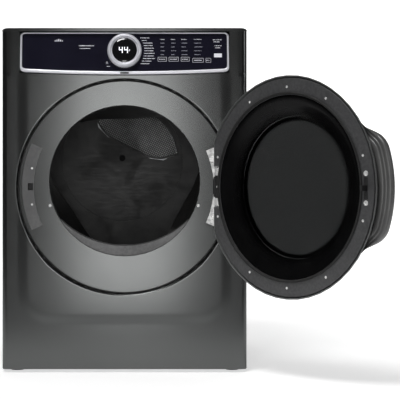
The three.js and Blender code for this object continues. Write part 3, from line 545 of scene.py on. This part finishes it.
def make_front_panel():
    """Rows run from the recess circle to the outline: p(u) = circle + u (outline - circle), y = depth(x, z).

    The top follows the console's bow: z = 831.5 + 8 min(|x| / 293.8, 1)^2.
    """
    n = 384
    t, square = square_ring(n)
    circle = np.stack([RECESS_R * np.cos(t), DOOR_Z + RECESS_R * np.sin(t)], axis=1)
    top = CONSOLE_FOOT + CONSOLE_BOW * np.clip(HALF_WIDTH * np.abs(square[:, 0]) / WINDOW_HALF, 0, 1) ** 2
    reach = np.where(square[:, 1] > 0, top - DOOR_Z, DOOR_Z - PANEL_LOW)
    outline = np.stack([HALF_WIDTH * square[:, 0], DOOR_Z + reach * square[:, 1]], axis=1)
    u = np.concatenate([np.linspace(0, 0.12, 10), np.linspace(0.14, 0.9, 44), np.linspace(0.91, 1, 22)])
    flat = circle[None] + u[:, None, None] * (outline - circle)[None]
    x, z = flat[..., 0], flat[..., 1]
    y = panel_depth(x, z)
    y = y + 3.0 * (1 - np.clip((np.hypot(x, z - DOOR_Z) - RECESS_R) / 3.0, 0, 1)) ** 2
    face = np.stack([x, y, z], axis=-1)
    lip = np.stack([face[0] + [0, d, 0] for d in (32.0, 16.0, 4.0, 1.0)])
    points = np.concatenate([lip, face])
    faces = grid_faces(points.shape[0], n, close_columns=True, flip=True)
    pressing = mesh_object("front_panel_pressing", points, faces, PAINT, smooth=50)
    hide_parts("front_panel")
    return pressing


def make_console_surround():
    """Strips beside the console window, on the same height field and rolled at the outer edges."""
    x_edges = np.concatenate([np.linspace(-HALF_WIDTH, BEND_R - HALF_WIDTH, 9), [-312, -WINDOW_HALF - 0.4]])
    z = np.linspace(CONSOLE_FOOT + CONSOLE_BOW, PANEL_HIGH, 8)
    for side, which in ((1, "right"), (-1, "left")):
        gx, gz = np.meshgrid(side * x_edges, z, indexing="ij")
        points = np.stack([gx, panel_depth(gx, gz), gz], axis=-1)
        faces = grid_faces(*gx.shape, flip=side == -1)
        mesh_object("console_side_" + which, points, faces, PAINT, smooth=50)


def make_panel_returns():
    """Flat returns behind the rolled edges, x = +-343 from the bend back to the side panels."""
    for side, which in ((1, "right"), (-1, "left")):
        y, z = np.meshgrid([FRONT_Y + BEND_R, -324.9], [PANEL_LOW, PANEL_HIGH], indexing="ij")
        points = np.stack([np.full_like(y, side * HALF_WIDTH), y, z], axis=-1)
        mesh_object("front_return_" + which, points, grid_faces(2, 2, flip=side == -1), PAINT)


pressing = make_front_panel()
make_console_surround()
make_panel_returns()
print("front panel:", len(pressing.data.polygons), "faces")

# %% [markdown]
# ## The drum's back wall and its grille
# Hot air comes in through a D-shaped sheet with rows of small punched holes. Drawing it as one cell
# that repeats, a square whose middle is a round hole, keeps every hole real. A cell is kept where its
# centre is inside the D.

# %% Perforated grille
AIR_X, AIR_Z, AIR_SLANT = -16.0, 600.0, math.radians(27)


def in_air_frame(u, v, y):
    """Points u across and v up the slanting grille: (x, z) = centre + R(-27 deg) (u, v)."""
    c, s = math.cos(AIR_SLANT), math.sin(AIR_SLANT)
    return np.stack([AIR_X + u * c + v * s, np.broadcast_to(y, np.shape(u)), AIR_Z - u * s + v * c], axis=-1)


def d_outline(n, inset=0.0):
    """The D: an arc of radius 186, and below it a flat at v = 48 joined by wide rounded corners."""
    t = np.linspace(math.radians(33), math.radians(147), n)
    arc_points = np.stack([(186 - inset) * np.cos(t), (186 - inset) * np.sin(t)], axis=1)
    corner = np.array([arc_points[-1], (-118 + inset * 0.3, 56 + inset), (-70, 48 + inset)])
    s = np.linspace(0, 1, 12)[1:, None]
    left = (1 - s) ** 2 * corner[0] + 2 * s * (1 - s) * corner[1] + s**2 * corner[2]
    right = left[::-1] * [-1, 1]
    return np.concatenate([arc_points, left, right[:-1]])


def inside_outline(u, v, outline):
    """Even-odd rule over all the outline's edges at once."""
    x1, y1 = outline.T
    x2, y2 = np.roll(outline, -1, axis=0).T
    u, v = u[:, None], v[:, None]
    crosses = ((y1 > v) != (y2 > v)) & (u < (x2 - x1) * (v - y1) / (y2 - y1 + 1e-12) + x1)
    return crosses.sum(axis=1) % 2 == 1


def make_grille():
    """Square cells of 6.2 mm with holes of r = 2.1 mm: quads from 8 border points to 8 hole points."""
    pitch, hole, y = 6.2, 2.1, 327.0
    u, v = np.meshgrid(np.arange(-27, 28) * pitch, np.arange(8, 30) * pitch, indexing="ij")
    u, v = u.ravel(), v.ravel()
    keep = inside_outline(u, v, d_outline(40, 5.0))
    u, v = u[keep], v[keep]
    t, square = square_ring(8)
    border = square * pitch / 2
    ring = np.stack([np.cos(t), np.sin(t)], 1) * hole
    cell = np.stack([border, ring, ring])
    pu = u[:, None, None] + cell[None, :, :, 0]
    pv = v[:, None, None] + cell[None, :, :, 1]
    depth = np.broadcast_to(np.array([y, y, y + 2.0])[None, :, None], pu.shape)
    points = in_air_frame(pu, pv, depth)
    faces = []
    for k in range(len(u)):
        faces += grid_faces(3, 8, close_columns=True, start=24 * k)
    plate = mesh_object("vent_grille_holes", points, faces, GRILLE_STEEL)
    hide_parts("vent_grille")
    rim = d_outline(60)
    across = np.array([[0.0, 328.0], [0.0, 324.6], [1.5, 323.8], [4.5, 323.8], [6.0, 325.4], [6.0, 328.0]])
    centre = rim.mean(axis=0)
    inward = (centre - rim) / np.linalg.norm(centre - rim, axis=1)[:, None]
    uv = rim[None] + across[:, 0][:, None, None] * inward[None]
    points = in_air_frame(uv[..., 0], uv[..., 1], across[:, 1][:, None])
    faces = grid_faces(*uv.shape[:2], close_columns=True, flip=True)
    mesh_object("vent_grille_rim", points, faces, DRUM_COAT)
    return len(u)


print("holes in the grille:", make_grille())

# %% [markdown]
# ## The inside of the door
# The inner face is a charcoal ring with a moulded black bowl in its middle. The bowl stops clothes from
# resting on the window, and its clear floor lets light through. The bowl is a surface of revolution
# whose depth follows a smoothstep of the radius, so the wall meets the rim and the floor without a
# crease.

# %% Door bowl, seal and ring
def door_revolved(name, profile, material, smooth=40.0):
    """A turned piece on the door's axis from a closed profile of (r, depth behind the front panel)."""
    profile = np.asarray(profile, float) + [0, FRONT_Y]
    points = revolved(profile, (0.0, DOOR_Z), 128)
    faces = grid_faces(*points.shape[:2], close_rows=True, close_columns=True)
    if turns_inwards(profile):
        faces = [f[::-1] for f in faces]
    return mesh_object(name, on_shut_door(points), faces, material, "door", smooth)


def make_bowl():
    """d(r) = -8 + 20.6 smoothstep((r - 176) / 69.5), 3.2 mm thick and closed through a pinhole centre.

    The seal is a bead of oval section, 6.4 by 4.8 mm, at r = 251 mm.
    """
    r = np.concatenate([[0.4, 60, 110, 150], np.linspace(172, 245, 26), [246.6]])
    d = -8 + 20.6 * smoothstep(r, 176, 245.5)
    inner = np.stack([r, d], axis=1)
    back = np.stack([r[::-1], d[::-1] - 3.2], axis=1)
    bowl = door_revolved("door_bowl", np.concatenate([inner, back]), BOWL)
    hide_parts("door_dish")
    s = np.linspace(0, 2 * np.pi, 14, endpoint=False)
    bead = np.stack([251 + 3.2 * np.cos(s), 16.9 + 2.4 * np.sin(s)], axis=1)
    seal = door_revolved("door_seal_bead", bead, RUBBER, smooth=180)
    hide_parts("door_seal")
    return bowl


bowl = make_bowl()
print("bowl:", len(bowl.data.polygons), "faces")

# %% [markdown]
# ## Screws
# Each screw is a shallow dome with a cross pressed into it. Its height is a function of the polar grid:
# a circular cap minus the cross, where the cross is the union of two thin rectangles softened at their
# edges.

# %% Screw heads
FORWARD, BACKWARD = (0, -1, 0), (0, 1, 0)


def screw(name, place, face, radius, material, body="cabinet", turn=0.4):
    """h(a, b) = 0.32 r sqrt(1 - 0.85 (s / r)^2) - 0.22 r cross(a, b), rising along the direction `face`."""
    angles = np.linspace(0, 2 * np.pi, 28, endpoint=False)
    s, t = np.meshgrid(np.linspace(0.02, 1, 11) * radius, angles, indexing="ij")
    a, b = s * np.cos(t), s * np.sin(t)
    along = a * math.cos(turn) + b * math.sin(turn)
    beside = b * math.cos(turn) - a * math.sin(turn)
    slot = 1 - smoothstep(np.minimum(np.abs(along), np.abs(beside)), 0.10 * radius, 0.20 * radius)
    cross = slot * (1 - smoothstep(s, 0.55 * radius, 0.68 * radius))
    h = 0.32 * radius * np.sqrt(1 - 0.85 * (s / radius) ** 2) - 0.22 * radius * cross
    h[-1] = 0.0
    n = np.array(face, float) / np.linalg.norm(face)
    side = np.cross(n, (0, 0, 1.0))
    side /= np.linalg.norm(side)
    up = np.cross(side, n)
    points = np.asarray(place, float) + a[..., None] * side + b[..., None] * up + h[..., None] * n
    if body == "door":
        points = on_shut_door(points)
    return mesh_object(name, points, grid_faces(*a.shape, close_columns=True), material, body, 40)


def make_screws():
    """Ten screws round the door's ring, two big ones at the strike, and pairs on the seat and the hinge."""
    for k, degrees in enumerate([90, -90, 60, 120, -60, -120, 18, -18, 162, -162]):
        t = math.radians(degrees)
        place = (268 * math.cos(t), FRONT_Y + 14.4, DOOR_Z + 268 * math.sin(t))
        screw(f"ring_screw_{k}", place, BACKWARD, 3.6, SCREW, "door", turn=0.5 * k)
    for k, dz in enumerate((37.5, -37.5)):
        place = (-264.5, FRONT_Y + 14.4, DOOR_Z + dz)
        screw(f"strike_screw_{k}", place, BACKWARD, 7.0, SCREW, "door", turn=k + 0.2)
    screw("hinge_block_screw", (258, FRONT_Y + 12.6, DOOR_Z), BACKWARD, 3.4, SCREW, "door")
    for k, dz in enumerate((52.0, -50.0)):
        place = (-260.5, FRONT_Y + 17.0, DOOR_Z + dz)
        screw(f"latch_cover_screw_{k}", place, FORWARD, 3.2, SCREW, turn=0.9 * k)
    for k, x in enumerate((-209.5, 207.5)):
        screw(f"seat_screw_{k}", (x, FRONT_Y + 20.0, DOOR_Z - 53), FORWARD, 4.2, SCREW, turn=0.3 + k)
    for k, dz in enumerate((76.0, -76.0)):
        place = (257.5, FRONT_Y + 28.0, DOOR_Z + dz)
        screw(f"hinge_screw_{k}", place, FORWARD, 4.4, SCREW, turn=0.7 + k)


make_screws()

# %% [markdown]
# ## The grip
# The grip is a crescent that grows out of the door's round edge. A cross-section of twelve corners is
# carried along the edge while its reach follows a smoothstep, so it rises out of the rim and sinks back
# into it. Shallow steps on the side towards the cabinet give the fingers a hold.

# %% Grip
def make_grip():
    """reach(t) = 297 + 26 smoothstep((34 - |t|) / 15), t in degrees; sections lie inside r = reach."""
    t = np.radians(np.linspace(-34, 34, 91))
    reach = 297 + 26 * smoothstep(34 - np.abs(np.degrees(t)), 0, 15)
    rise = smoothstep(34 - np.abs(np.degrees(t)), 0, 9)
    section = rounded([(-61, -9.4), (-30, -6.5), (-24, -8.0), (-22, -9.8), (-15, -10.2), (-13, -12.0),
                       (-5, -12.6), (0, -16), (0, -29), (-6, -34.5), (-26, -33), (-61, -12.6)], 2.6, 4)
    back = np.minimum(section[:, 0], 0)
    r = reach[:, None] + back[None, :] * (0.35 + 0.65 * rise[:, None])
    shell_d = -9.0 + 23 * (1 - np.sqrt(np.clip(1 - (np.clip(r - 239, 0, 60) / 60) ** 2, 0, 1)))
    d = shell_d + (section[:, 1][None, :] - shell_d) * rise[:, None]
    d = np.minimum(d, shell_d + 1.0)
    x, z = -r * np.cos(t)[:, None], DOOR_Z + r * np.sin(t)[:, None]
    points = on_shut_door(np.stack([x, d + FRONT_Y, z], axis=-1))
    faces = grid_faces(*r.shape, close_columns=True)
    grip = mesh_object("door_grip", points, faces, GRIP_PAINT, "door", 50)
    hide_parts("door_handle")
    return grip


grip = make_grip()
print("grip:", len(grip.data.vertices), "points")

# %% [markdown]
# ## The console's print
# The glass carries white print. It is drawn here as short strokes that stand for words, and as boxes
# round the keys. Each stroke is a rectangle on the leaning console, slightly in front of the glass, and
# the strokes on a key belong to the key, so they move in with it.

# %% Printing on the console
PRINT_RANDOM = np.random.default_rng(7)
GLASS_Y, KEY_Y = 1.86, 1.26
CONSOLE_KEYS = [
    ("power", -49, 35, 10, 9), ("dryness", 105.7, 45, 26, 14), ("temperature", 137.8, 45, 28.5, 14),
    ("time", 170, 45, 25, 14), ("option", 206, 42, 32, 14), ("lock", 235, 42, 16, 14),
    ("start", 262, 56, 24, 13),
]


def printed(name, rectangles, y, material, body="cabinet"):
    """One mesh of flat rectangles (x0, x1, z0, z1) on the leaning console, facing the user."""
    x0, x1, z0, z1 = np.asarray(rectangles, float).T
    x, z = np.stack([x0, x1, x1, x0], 1), np.stack([z0, z0, z1, z1], 1)
    corners = np.stack([x, np.full_like(x, y), z], axis=-1)
    faces = [[4 * k, 4 * k + 1, 4 * k + 2, 4 * k + 3] for k in range(len(x0))]
    return mesh_object(name, on_console(corners), faces, material, body)


def strokes(x, z, length, height=2.4):
    """Letter-like strokes that fill `length` from x: widths of 0.8 to 1.7 mm with gaps of 0.6 mm."""
    out, at = [], x
    while at < x + length - 0.8:
        width = float(PRINT_RANDOM.uniform(0.8, 1.7))
        tall = height * float(PRINT_RANDOM.uniform(0.75, 1.0))
        out.append((at, min(at + width, x + length), z - height / 2, z - height / 2 + tall))
        at += width + 0.6 + (1.2 if PRINT_RANDOM.random() < 0.16 else 0.0)
    return out


def frame_of(x, z, w, h, line=0.7):
    """The four sides of an outlined box centred on (x, z)."""
    l, r, b, t = x - w / 2, x + w / 2, z - h / 2, z + h / 2
    return [(l, r, b, b + line), (l, r, t - line, t), (l, l + line, b, t), (r - line, r, b, t)]


def make_print():
    """Rows that curve round the dial, four columns of settings, a small mark, and boxes on the keys."""
    marks, dim = [], []
    for row in range(11):
        dz = 37.5 - 7.4 * row
        x = math.sqrt(max(66.0**2 - dz**2, 0)) - 10
        length = 16 + 14 * float(PRINT_RANDOM.random()) + (8 if 2 < row < 9 else 0)
        marks += strokes(x, DIAL_Z + dz, length)
    for x, lengths in ((100, 14), (130, 14), (159, 18), (195, 24)):
        marks += strokes(x, 102, lengths * 0.9, 2.0)
        for row in range(4):
            dim += strokes(x + 1, 91.5 - 11 * row, lengths * (0.6 + 0.4 * float(PRINT_RANDOM.random())), 2.0)
    marks += strokes(248, 101, 25) + strokes(250, 95, 18) + strokes(253, 84, 21) + strokes(254, 78, 15)
    marks += strokes(-128, 84, 44, 3.0) + strokes(-126, 76, 30, 2.2) + strokes(-50, 25, 9, 2.0)
    for k in range(5):
        marks.append((-196 + 5 * k, -193.4 + 5 * k, 96, 99 + 2.2 * (2 - abs(k - 2))))
    printed("console_print", marks, GLASS_Y, PRINT)
    printed("console_print_dim", dim, GLASS_Y, PRINT_DIM)
    for key, x, z, w, h in CONSOLE_KEYS:
        lines = frame_of(x, z, w - 1.6, h - 1.6) + strokes(x - w * 0.34, z, w * 0.66, 2.6)
        if key == "start":
            lines = [(x - w / 2 + 1, x + w / 2 - 1, z - h / 2 + 1, z + h / 2 - 1)]
        if key == "power":
            lines = [(x - 0.4, x + 0.4, z, z + 3.2)] + frame_of(x, z - 0.4, 5.4, 5.0, 0.6)
        printed(key + "_key_print", lines, KEY_Y, PRINT, key + "_button")


make_print()

# %% [markdown]
# ## The number display and the dial
# The display lies inside the dial and shows a lit number made of straight segments. The dial is a satin
# ring that turns round it: a turned section with a wave of 72 ridges on its rim, which gives the
# fingers a grip.

# %% Number display and dial ring
def make_display():
    """Two seven-segment fours, 17 mm tall, with a small unit mark: segments b, c, f and g are lit."""
    lit = []
    height, width, line, z = 17.0, 10.4, 2.2, DIAL_Z
    for x in (-15.5, -1.0):
        lit += [(x + width - line, x + width, z - height / 2, z + height / 2),
                (x, x + line, z, z + height / 2), (x, x + width, z - line / 2, z + line / 2)]
    lit += [(12.2, 15.6, z - 0.8, z + 0.4), (12.2, 13.2, z - 4.4, z - 0.8)]
    printed("display_digits", lit, -11.25, DISPLAY_LIGHT)


def make_dial_ring():
    """A ring round the display, with fine ridges on its rim: r = 48 + 0.35 cos(72 t) on the outer points."""
    profile = np.array([(34.9, -8.6), (35.6, -9.4), (37.4, -9.0), (38.2, -12.8), (39.4, -15.6),
                        (42.4, -16.0), (45.2, -14.2), (47.4, -9.6), (48.0, -6.0), (48.0, 1.2), (34.9, 1.2)])
    profile = rounded(np.vstack([profile, profile[:1]]), 0.8, 3)[:-1]
    t = np.linspace(0, 2 * np.pi, 432, endpoint=False)
    r = profile[:, 0][:, None] + np.where(profile[:, 0] > 47.4, 0.35, 0.0)[:, None] * np.cos(72 * t)
    y = np.broadcast_to(profile[:, 1][:, None], r.shape)
    points = on_console(np.stack([r * np.cos(t), y, DIAL_Z + r * np.sin(t)], axis=-1))
    faces = grid_faces(*r.shape, close_rows=True, close_columns=True)
    if turns_inwards(profile):
        faces = [f[::-1] for f in faces]
    ring = mesh_object("dial_ring", points, faces, SATIN, "dial", 35)
    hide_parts("cycle_dial")


make_display()
make_dial_ring()
print("display and dial made")

# %% [markdown]
# ## Lifting vanes
# Three hollow plastic vanes wind along the drum and lift the clothes. Each is a half-round ridge whose
# height follows a sine along its length, and its long grooves come from a small wave across the
# section. They ride on the drum's body, so they turn with it.

# %% Vanes
VANE_FOOT_R = 313.0


def make_vane(name, start_degrees):
    """h(u, v) = (78 + 48 sin pi u) sin v + 2.2 cos(14 v) sqrt(sin v) fade(u) - 2.4, wound by 78 degrees.

    u runs along the drum and v across the vane; the grooves fade out at both ends by sin(pi u) ^ 0.3.
    """
    u = np.linspace(0, 1, 72)[:, None]
    v = np.linspace(0, np.pi, 61)[None, :]
    height = 78 + 48 * np.sin(np.pi * u)
    fade = np.sin(np.pi * np.clip(u, 0.02, 0.98)) ** 0.3
    rise = height * np.sin(v) + 2.2 * np.cos(14 * v) * np.sin(v) ** 0.5 * fade - 2.4
    across = 45.5 * np.cos(v)
    turn = math.radians(start_degrees) + math.radians(78) * (u - 0.5)
    turn = turn + across / VANE_FOOT_R * (1 - 0.25 * np.clip(rise, 0, None) / height)
    r = VANE_FOOT_R - np.clip(rise, 0.4, None)
    y = np.broadcast_to(-245.0 + 540.0 * u, r.shape)
    side = np.stack([r * np.cos(turn), y, DRUM_Z + r * np.sin(turn)], axis=-1)
    ends = [side.mean(axis=1, keepdims=True)[k] + 0 * side[k] for k in (0, -1)]
    points = np.concatenate([ends[0][None], side, ends[1][None]])
    faces = grid_faces(*points.shape[:2], close_columns=True, flip=True)
    vane = mesh_object(name + "_vane_grooved", points, faces, VANE_PLASTIC, "drum_body", 40)
    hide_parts(name + "_vane")


for which, start in (("first", -32), ("second", 88), ("third", 208)):
    make_vane(which, start)
print("vanes made")

# %% [markdown]
# ## The bright frame round the console
# A bright moulding with rounded edges runs round the glass. Its lower side bows down in the middle and
# is wider than the others. Sweeping one rounded section between an outer and an inner outline gives
# every width.

# %% Console frame and its latch mark
def bowed_outline(half, z0, z1, r, bow, n=64):
    """Points of a rectangle with round corners whose lower side is z0 - bow (1 - (x / half)^2)."""
    x = np.linspace(-half + r, half - r, n)
    lower = np.stack([x, z0 - bow * (1 - (x / half) ** 2)], axis=1)
    out = [lower]
    cx, low, high = half - r, z0 + r, z1 - r
    for cx, cz, start in ((cx, low, -90), (cx, high, 0), (-cx, high, 90), (-cx, low, 180)):
        t = np.radians(start + np.linspace(0, 90, 14))
        out.append(np.stack([cx + r * np.cos(t), cz + r * np.sin(t)], axis=1))
    top = np.stack([np.linspace(half - r, -half + r, n), np.full(n, z1)], axis=1)
    out.insert(3, top[1:-1])
    return np.concatenate(out)


def make_console_frame():
    """p(share) = outer + share (inner - outer); the section lists (share, y). A dark notch sits below."""
    outer = bowed_outline(293, 10, 122, 12, 8)
    inner = bowed_outline(287.4, 18.6, 118.4, 9, 8)
    section = np.array([(0, 11.5), (0, 1.2), (0.06, -0.2), (0.2, -1.0), (0.5, -1.3), (0.8, -1.0),
                        (0.94, -0.2), (1, 1.2), (1, 11.5)])
    xz = outer[None] + section[:, 0][:, None, None] * (inner - outer)[None]
    y = np.broadcast_to(section[:, 1][:, None], xz.shape[:2])
    points = on_console(np.stack([xz[..., 0], y, xz[..., 1]], axis=-1))
    faces = grid_faces(*points.shape[:2], close_rows=True, close_columns=True)
    frame_piece = mesh_object("console_frame", points, faces, SATIN, smooth=50)
    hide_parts("console_trim")
    notch = rounded([(-12, 3.2), (-12, 7.6), (12, 7.6), (12, 3.2), (-12, 3.2)], 1.4, 4)[:-1]
    tapered = np.stack([notch, notch * [0.98, 1]])
    y = np.broadcast_to([[1.0], [-1.9]], tapered.shape[:2])
    points = on_console(np.stack([tapered[..., 0], y, tapered[..., 1]], axis=-1))
    faces = grid_faces(2, len(notch), close_columns=True) + [list(range(len(notch), 2 * len(notch)))]
    mesh_object("console_sensor", points, faces, BLACK_PLASTIC)


make_console_frame()
print("console frame made")

# %% [markdown]
# ## A dark bead for the shadow in the recess
# A black rubber bead lies where the seat meets the lip of the recess, as painted shade: it stands for
# the dark shadow gap there. It stops short of the hinge pocket.

# %% Recess bead, as painted shade
def make_shadow_bead():
    """A dark bead of painted shade for the shadow gap: an oval section, 5.0 by 3.6 mm, carried round the arc
    from 27 to 333 degrees at r = 298.6 mm.
    """
    t = np.radians(np.linspace(27, 333, 240))
    s = np.linspace(0, 2 * np.pi, 14, endpoint=False)
    fade = smoothstep(np.minimum(t - t[0], t[-1] - t), 0, 0.02)[None, :]
    r = 298.6 + 2.5 * np.cos(s)[:, None] * (0.3 + 0.7 * fade)
    d = 18.0 + 1.8 * np.sin(s)[:, None] * (0.3 + 0.7 * fade)
    points = np.stack([r * np.cos(t), FRONT_Y + d, DOOR_Z + r * np.sin(t)], axis=-1)
    faces = grid_faces(*points.shape[:2], close_rows=True)
    n = len(t)
    faces += [[n * k for k in range(14)], [n * k + n - 1 for k in range(14)][::-1]]
    # Painted shade: a dark rubber bead stands for the shadow in the gap between the seat and the lip.
    mesh_object("recess_shadow_bead", points, faces, RUBBER, smooth=60)


make_shadow_bead()
print("recess bead made")

# %% [markdown]
# ## Hinge sleeves and the cover between them
# Two bright steel sleeves turn on the pin, and a black moulded cover hides the middle of the hinge
# plate. The sleeve is a small solid of revolution about the upright pin. The cover is a rounded
# rectangle whose depth falls off smoothly at its edge, like a shallow pillow. The rear panel's screws
# are the same heads again.

# %% Hinge sleeves, cover and rear screws
def make_hinge_sleeves():
    """Sleeves of radius 10.4 mm with 1.2 mm rounded rims: (r, z) turned about the pin at x = 263 mm."""
    for k, z0 in enumerate((DOOR_Z + 31.8, DOOR_Z - 52.2)):
        z1 = z0 + 20.4
        profile = rounded([(9.2, z0), (10.4, z0), (10.4, z1), (9.2, z1), (9.2, z0)], 1.2, 4)[:-1]
        t = np.linspace(0, 2 * np.pi, 40, endpoint=False)
        r, z = profile[:, 0][:, None], profile[:, 1][:, None]
        points = np.stack([HINGE_X + r * np.cos(t), HINGE_Y + r * np.sin(t), z + 0 * t], axis=-1)
        faces = grid_faces(*points.shape[:2], close_rows=True, close_columns=True)
        mesh_object(f"hinge_sleeve_{k}", points, faces, SCREW, smooth=40)


def make_hinge_cover():
    """d(q) = 27.8 - 2.6 sqrt(1 - q^4) over a superellipse of 12.8 by 58 mm, with q = 1 at its edge."""
    t = np.linspace(0, 2 * np.pi, 96, endpoint=False)
    c, s = np.cos(t), np.sin(t)
    edge = np.stack([6.4 * np.sign(c) * np.abs(c) ** 0.3, 29 * np.sign(s) * np.abs(s) ** 0.3], axis=1)
    q = np.concatenate([[0.01], np.linspace(0.2, 1, 14)])
    points = np.empty((len(q), len(t), 3))
    points[..., 0] = 256.4 + q[:, None] * edge[:, 0]
    points[..., 2] = DOOR_Z + q[:, None] * edge[:, 1]
    points[..., 1] = FRONT_Y + 27.8 - 2.6 * np.sqrt(np.clip(1 - q[:, None] ** 4, 0, 1))
    faces = grid_faces(*points.shape[:2], close_columns=True)
    mesh_object("hinge_cover", points, faces, BLACK_PLASTIC, smooth=60)


def make_rear_screws():
    """Eight screws down the rear panel's side edges and two along its top."""
    places = [(x, z) for x in (-326, 326) for z in (70, 360, 650, 930)] + [(-110, 944), (110, 944)]
    for k, (x, z) in enumerate(places):
        screw(f"rear_screw_{k}", (x, 372.9, z), BACKWARD, 4.2, SCREW, turn=0.37 * k)


make_hinge_sleeves()
make_hinge_cover()
make_rear_screws()
print("hinge and rear details made")

# %% [markdown]
# ## The photographer's room
# A pale floor and a bright backdrop keep the outline clear. A metallic front shows what stands before
# it, so a tall narrow light there draws the bright band down its middle and leaves the edges dark. A
# high light reaches the drum and the seat, a weak one from the right finds the open door, and a wide
# one lights the backdrop. The floor in front of the machine is painted darker, as painted shade, so the
# lower panel mirrors a dark floor there.

# %% Room, lights and camera
def stage_mesh(name, points, faces, material):
    """A mesh of the room, in metres, which is not part of the machine."""
    mesh = bpy.data.meshes.new(name)
    mesh.from_pydata(points, [], faces)
    mesh.materials.append(material)
    mesh.shade_smooth()
    obj = bpy.data.objects.new(name, mesh)
    bpy.context.scene.collection.objects.link(obj)
    return obj


def floor_material():
    """Pale, glowing softly where |x - 0.5| < 2.1; painted shade greys the floor in front and the glow falls
    off, both from y = -0.88 to -1.6.
    """
    material = bpy.data.materials.new("pale floor")
    material.use_nodes = True
    tree = material.node_tree
    shader = tree.nodes["Principled BSDF"]
    shader.inputs["Roughness"].default_value = 0.9
    shader.inputs["Emission Color"].default_value = (1, 1, 1, 1)
    where = tree.nodes.new("ShaderNodeTexCoord").outputs["Object"]
    parts = add_node(tree, "ShaderNodeSeparateXYZ", {0: where}).outputs
    side = math_node(tree, "ABSOLUTE", math_node(tree, "SUBTRACT", parts["X"], 0.5))
    middle = remap(tree, side, 2.1, 3.0, 1.0, 0.0)
    # Painted shade: the floor turns grey in front of the machine, so the lower panel mirrors a dark floor.
    behind = remap(tree, parts["Y"], -1.6, -0.88, 0.0, 1.0)
    shade = mix_colour(tree, behind, (0.33, 0.33, 0.33, 1), (0.9, 0.9, 0.9, 1))
    tree.links.new(shade, shader.inputs["Base Color"])
    glow = math_node(tree, "MULTIPLY", math_node(tree, "MULTIPLY", middle, behind), 0.5)
    tree.links.new(glow, shader.inputs["Emission Strength"])
    return material


def make_room():
    """A floor that curves up into a backdrop: flat, a quarter circle of radius 1.2 m, then straight up."""
    t = np.linspace(0, np.pi / 2, 16)
    y = np.concatenate([[-9.0], 7.0 + 1.2 * np.sin(t), [8.2]])
    z = np.concatenate([[0.0], 1.2 - 1.2 * np.cos(t), [9.0]])
    faces = [(2 * k, 2 * k + 1, 2 * k + 3, 2 * k + 2) for k in range(len(y) - 1)]
    points = [(x, float(b), float(c)) for b, c in zip(y, z) for x in (-9, 9)]
    stage_mesh("floor", points, faces, floor_material())


def area_light(name, place, aim, size, energy):
    """A soft rectangular light at `place`, turned so that it points at `aim`."""
    light = bpy.data.lights.new(name, "AREA")
    light.shape = "RECTANGLE"
    light.size, light.size_y = size
    light.energy = energy
    obj = bpy.data.objects.new(name, light)
    obj.location = place
    obj.rotation_euler = (Vector(aim) - Vector(place)).to_track_quat("-Z", "Y").to_euler()
    bpy.context.scene.collection.objects.link(obj)


def make_camera():
    """A level camera 4 m in front of the machine, shifted so that the outline sits in the frame."""
    eye_x, eye_z, distance = 0.05, 0.555, 4.0
    middle_x, middle_z, width = 0.2114, 0.483, 1.12
    camera = bpy.data.cameras.new("camera")
    camera.lens = 36.0 * distance / width
    camera.shift_x, camera.shift_y = (middle_x - eye_x) / width, (middle_z - eye_z) / width
    obj = bpy.data.objects.new("camera", camera)
    obj.location = (eye_x, FRONT_Y * MM - distance, eye_z)
    obj.rotation_euler = (math.pi / 2, 0, 0)
    bpy.context.scene.collection.objects.link(obj)
    bpy.context.scene.camera = obj


make_room()
make_camera()
area_light("centre", (-0.02, -2.5, 0.5), (-0.02, -0.37, 0.5), (0.46, 1.4), 8.5)
area_light("high", (-0.7, -2.4, 4.3), (0.1, -0.3, 0.5), (1.4, 1.4), 110)
area_light("right", (3.0, -1.6, 1.6), (0.5, -0.5, 0.5), (0.5, 1.2), 10)
area_light("backdrop", (0.5, 3.4, 4.4), (0.5, 6.5, 0.4), (5.0, 2.0), 200)
world = bpy.data.worlds.new("room")
world.use_nodes = True
world.node_tree.nodes["Background"].inputs[0].default_value = (1, 1, 1, 1)
world.node_tree.nodes["Background"].inputs[1].default_value = 0.03
bpy.context.scene.world = world
bpy.context.scene.view_settings.view_transform = "Standard"
print("camera at", tuple(round(v, 3) for v in bpy.context.scene.camera.location))
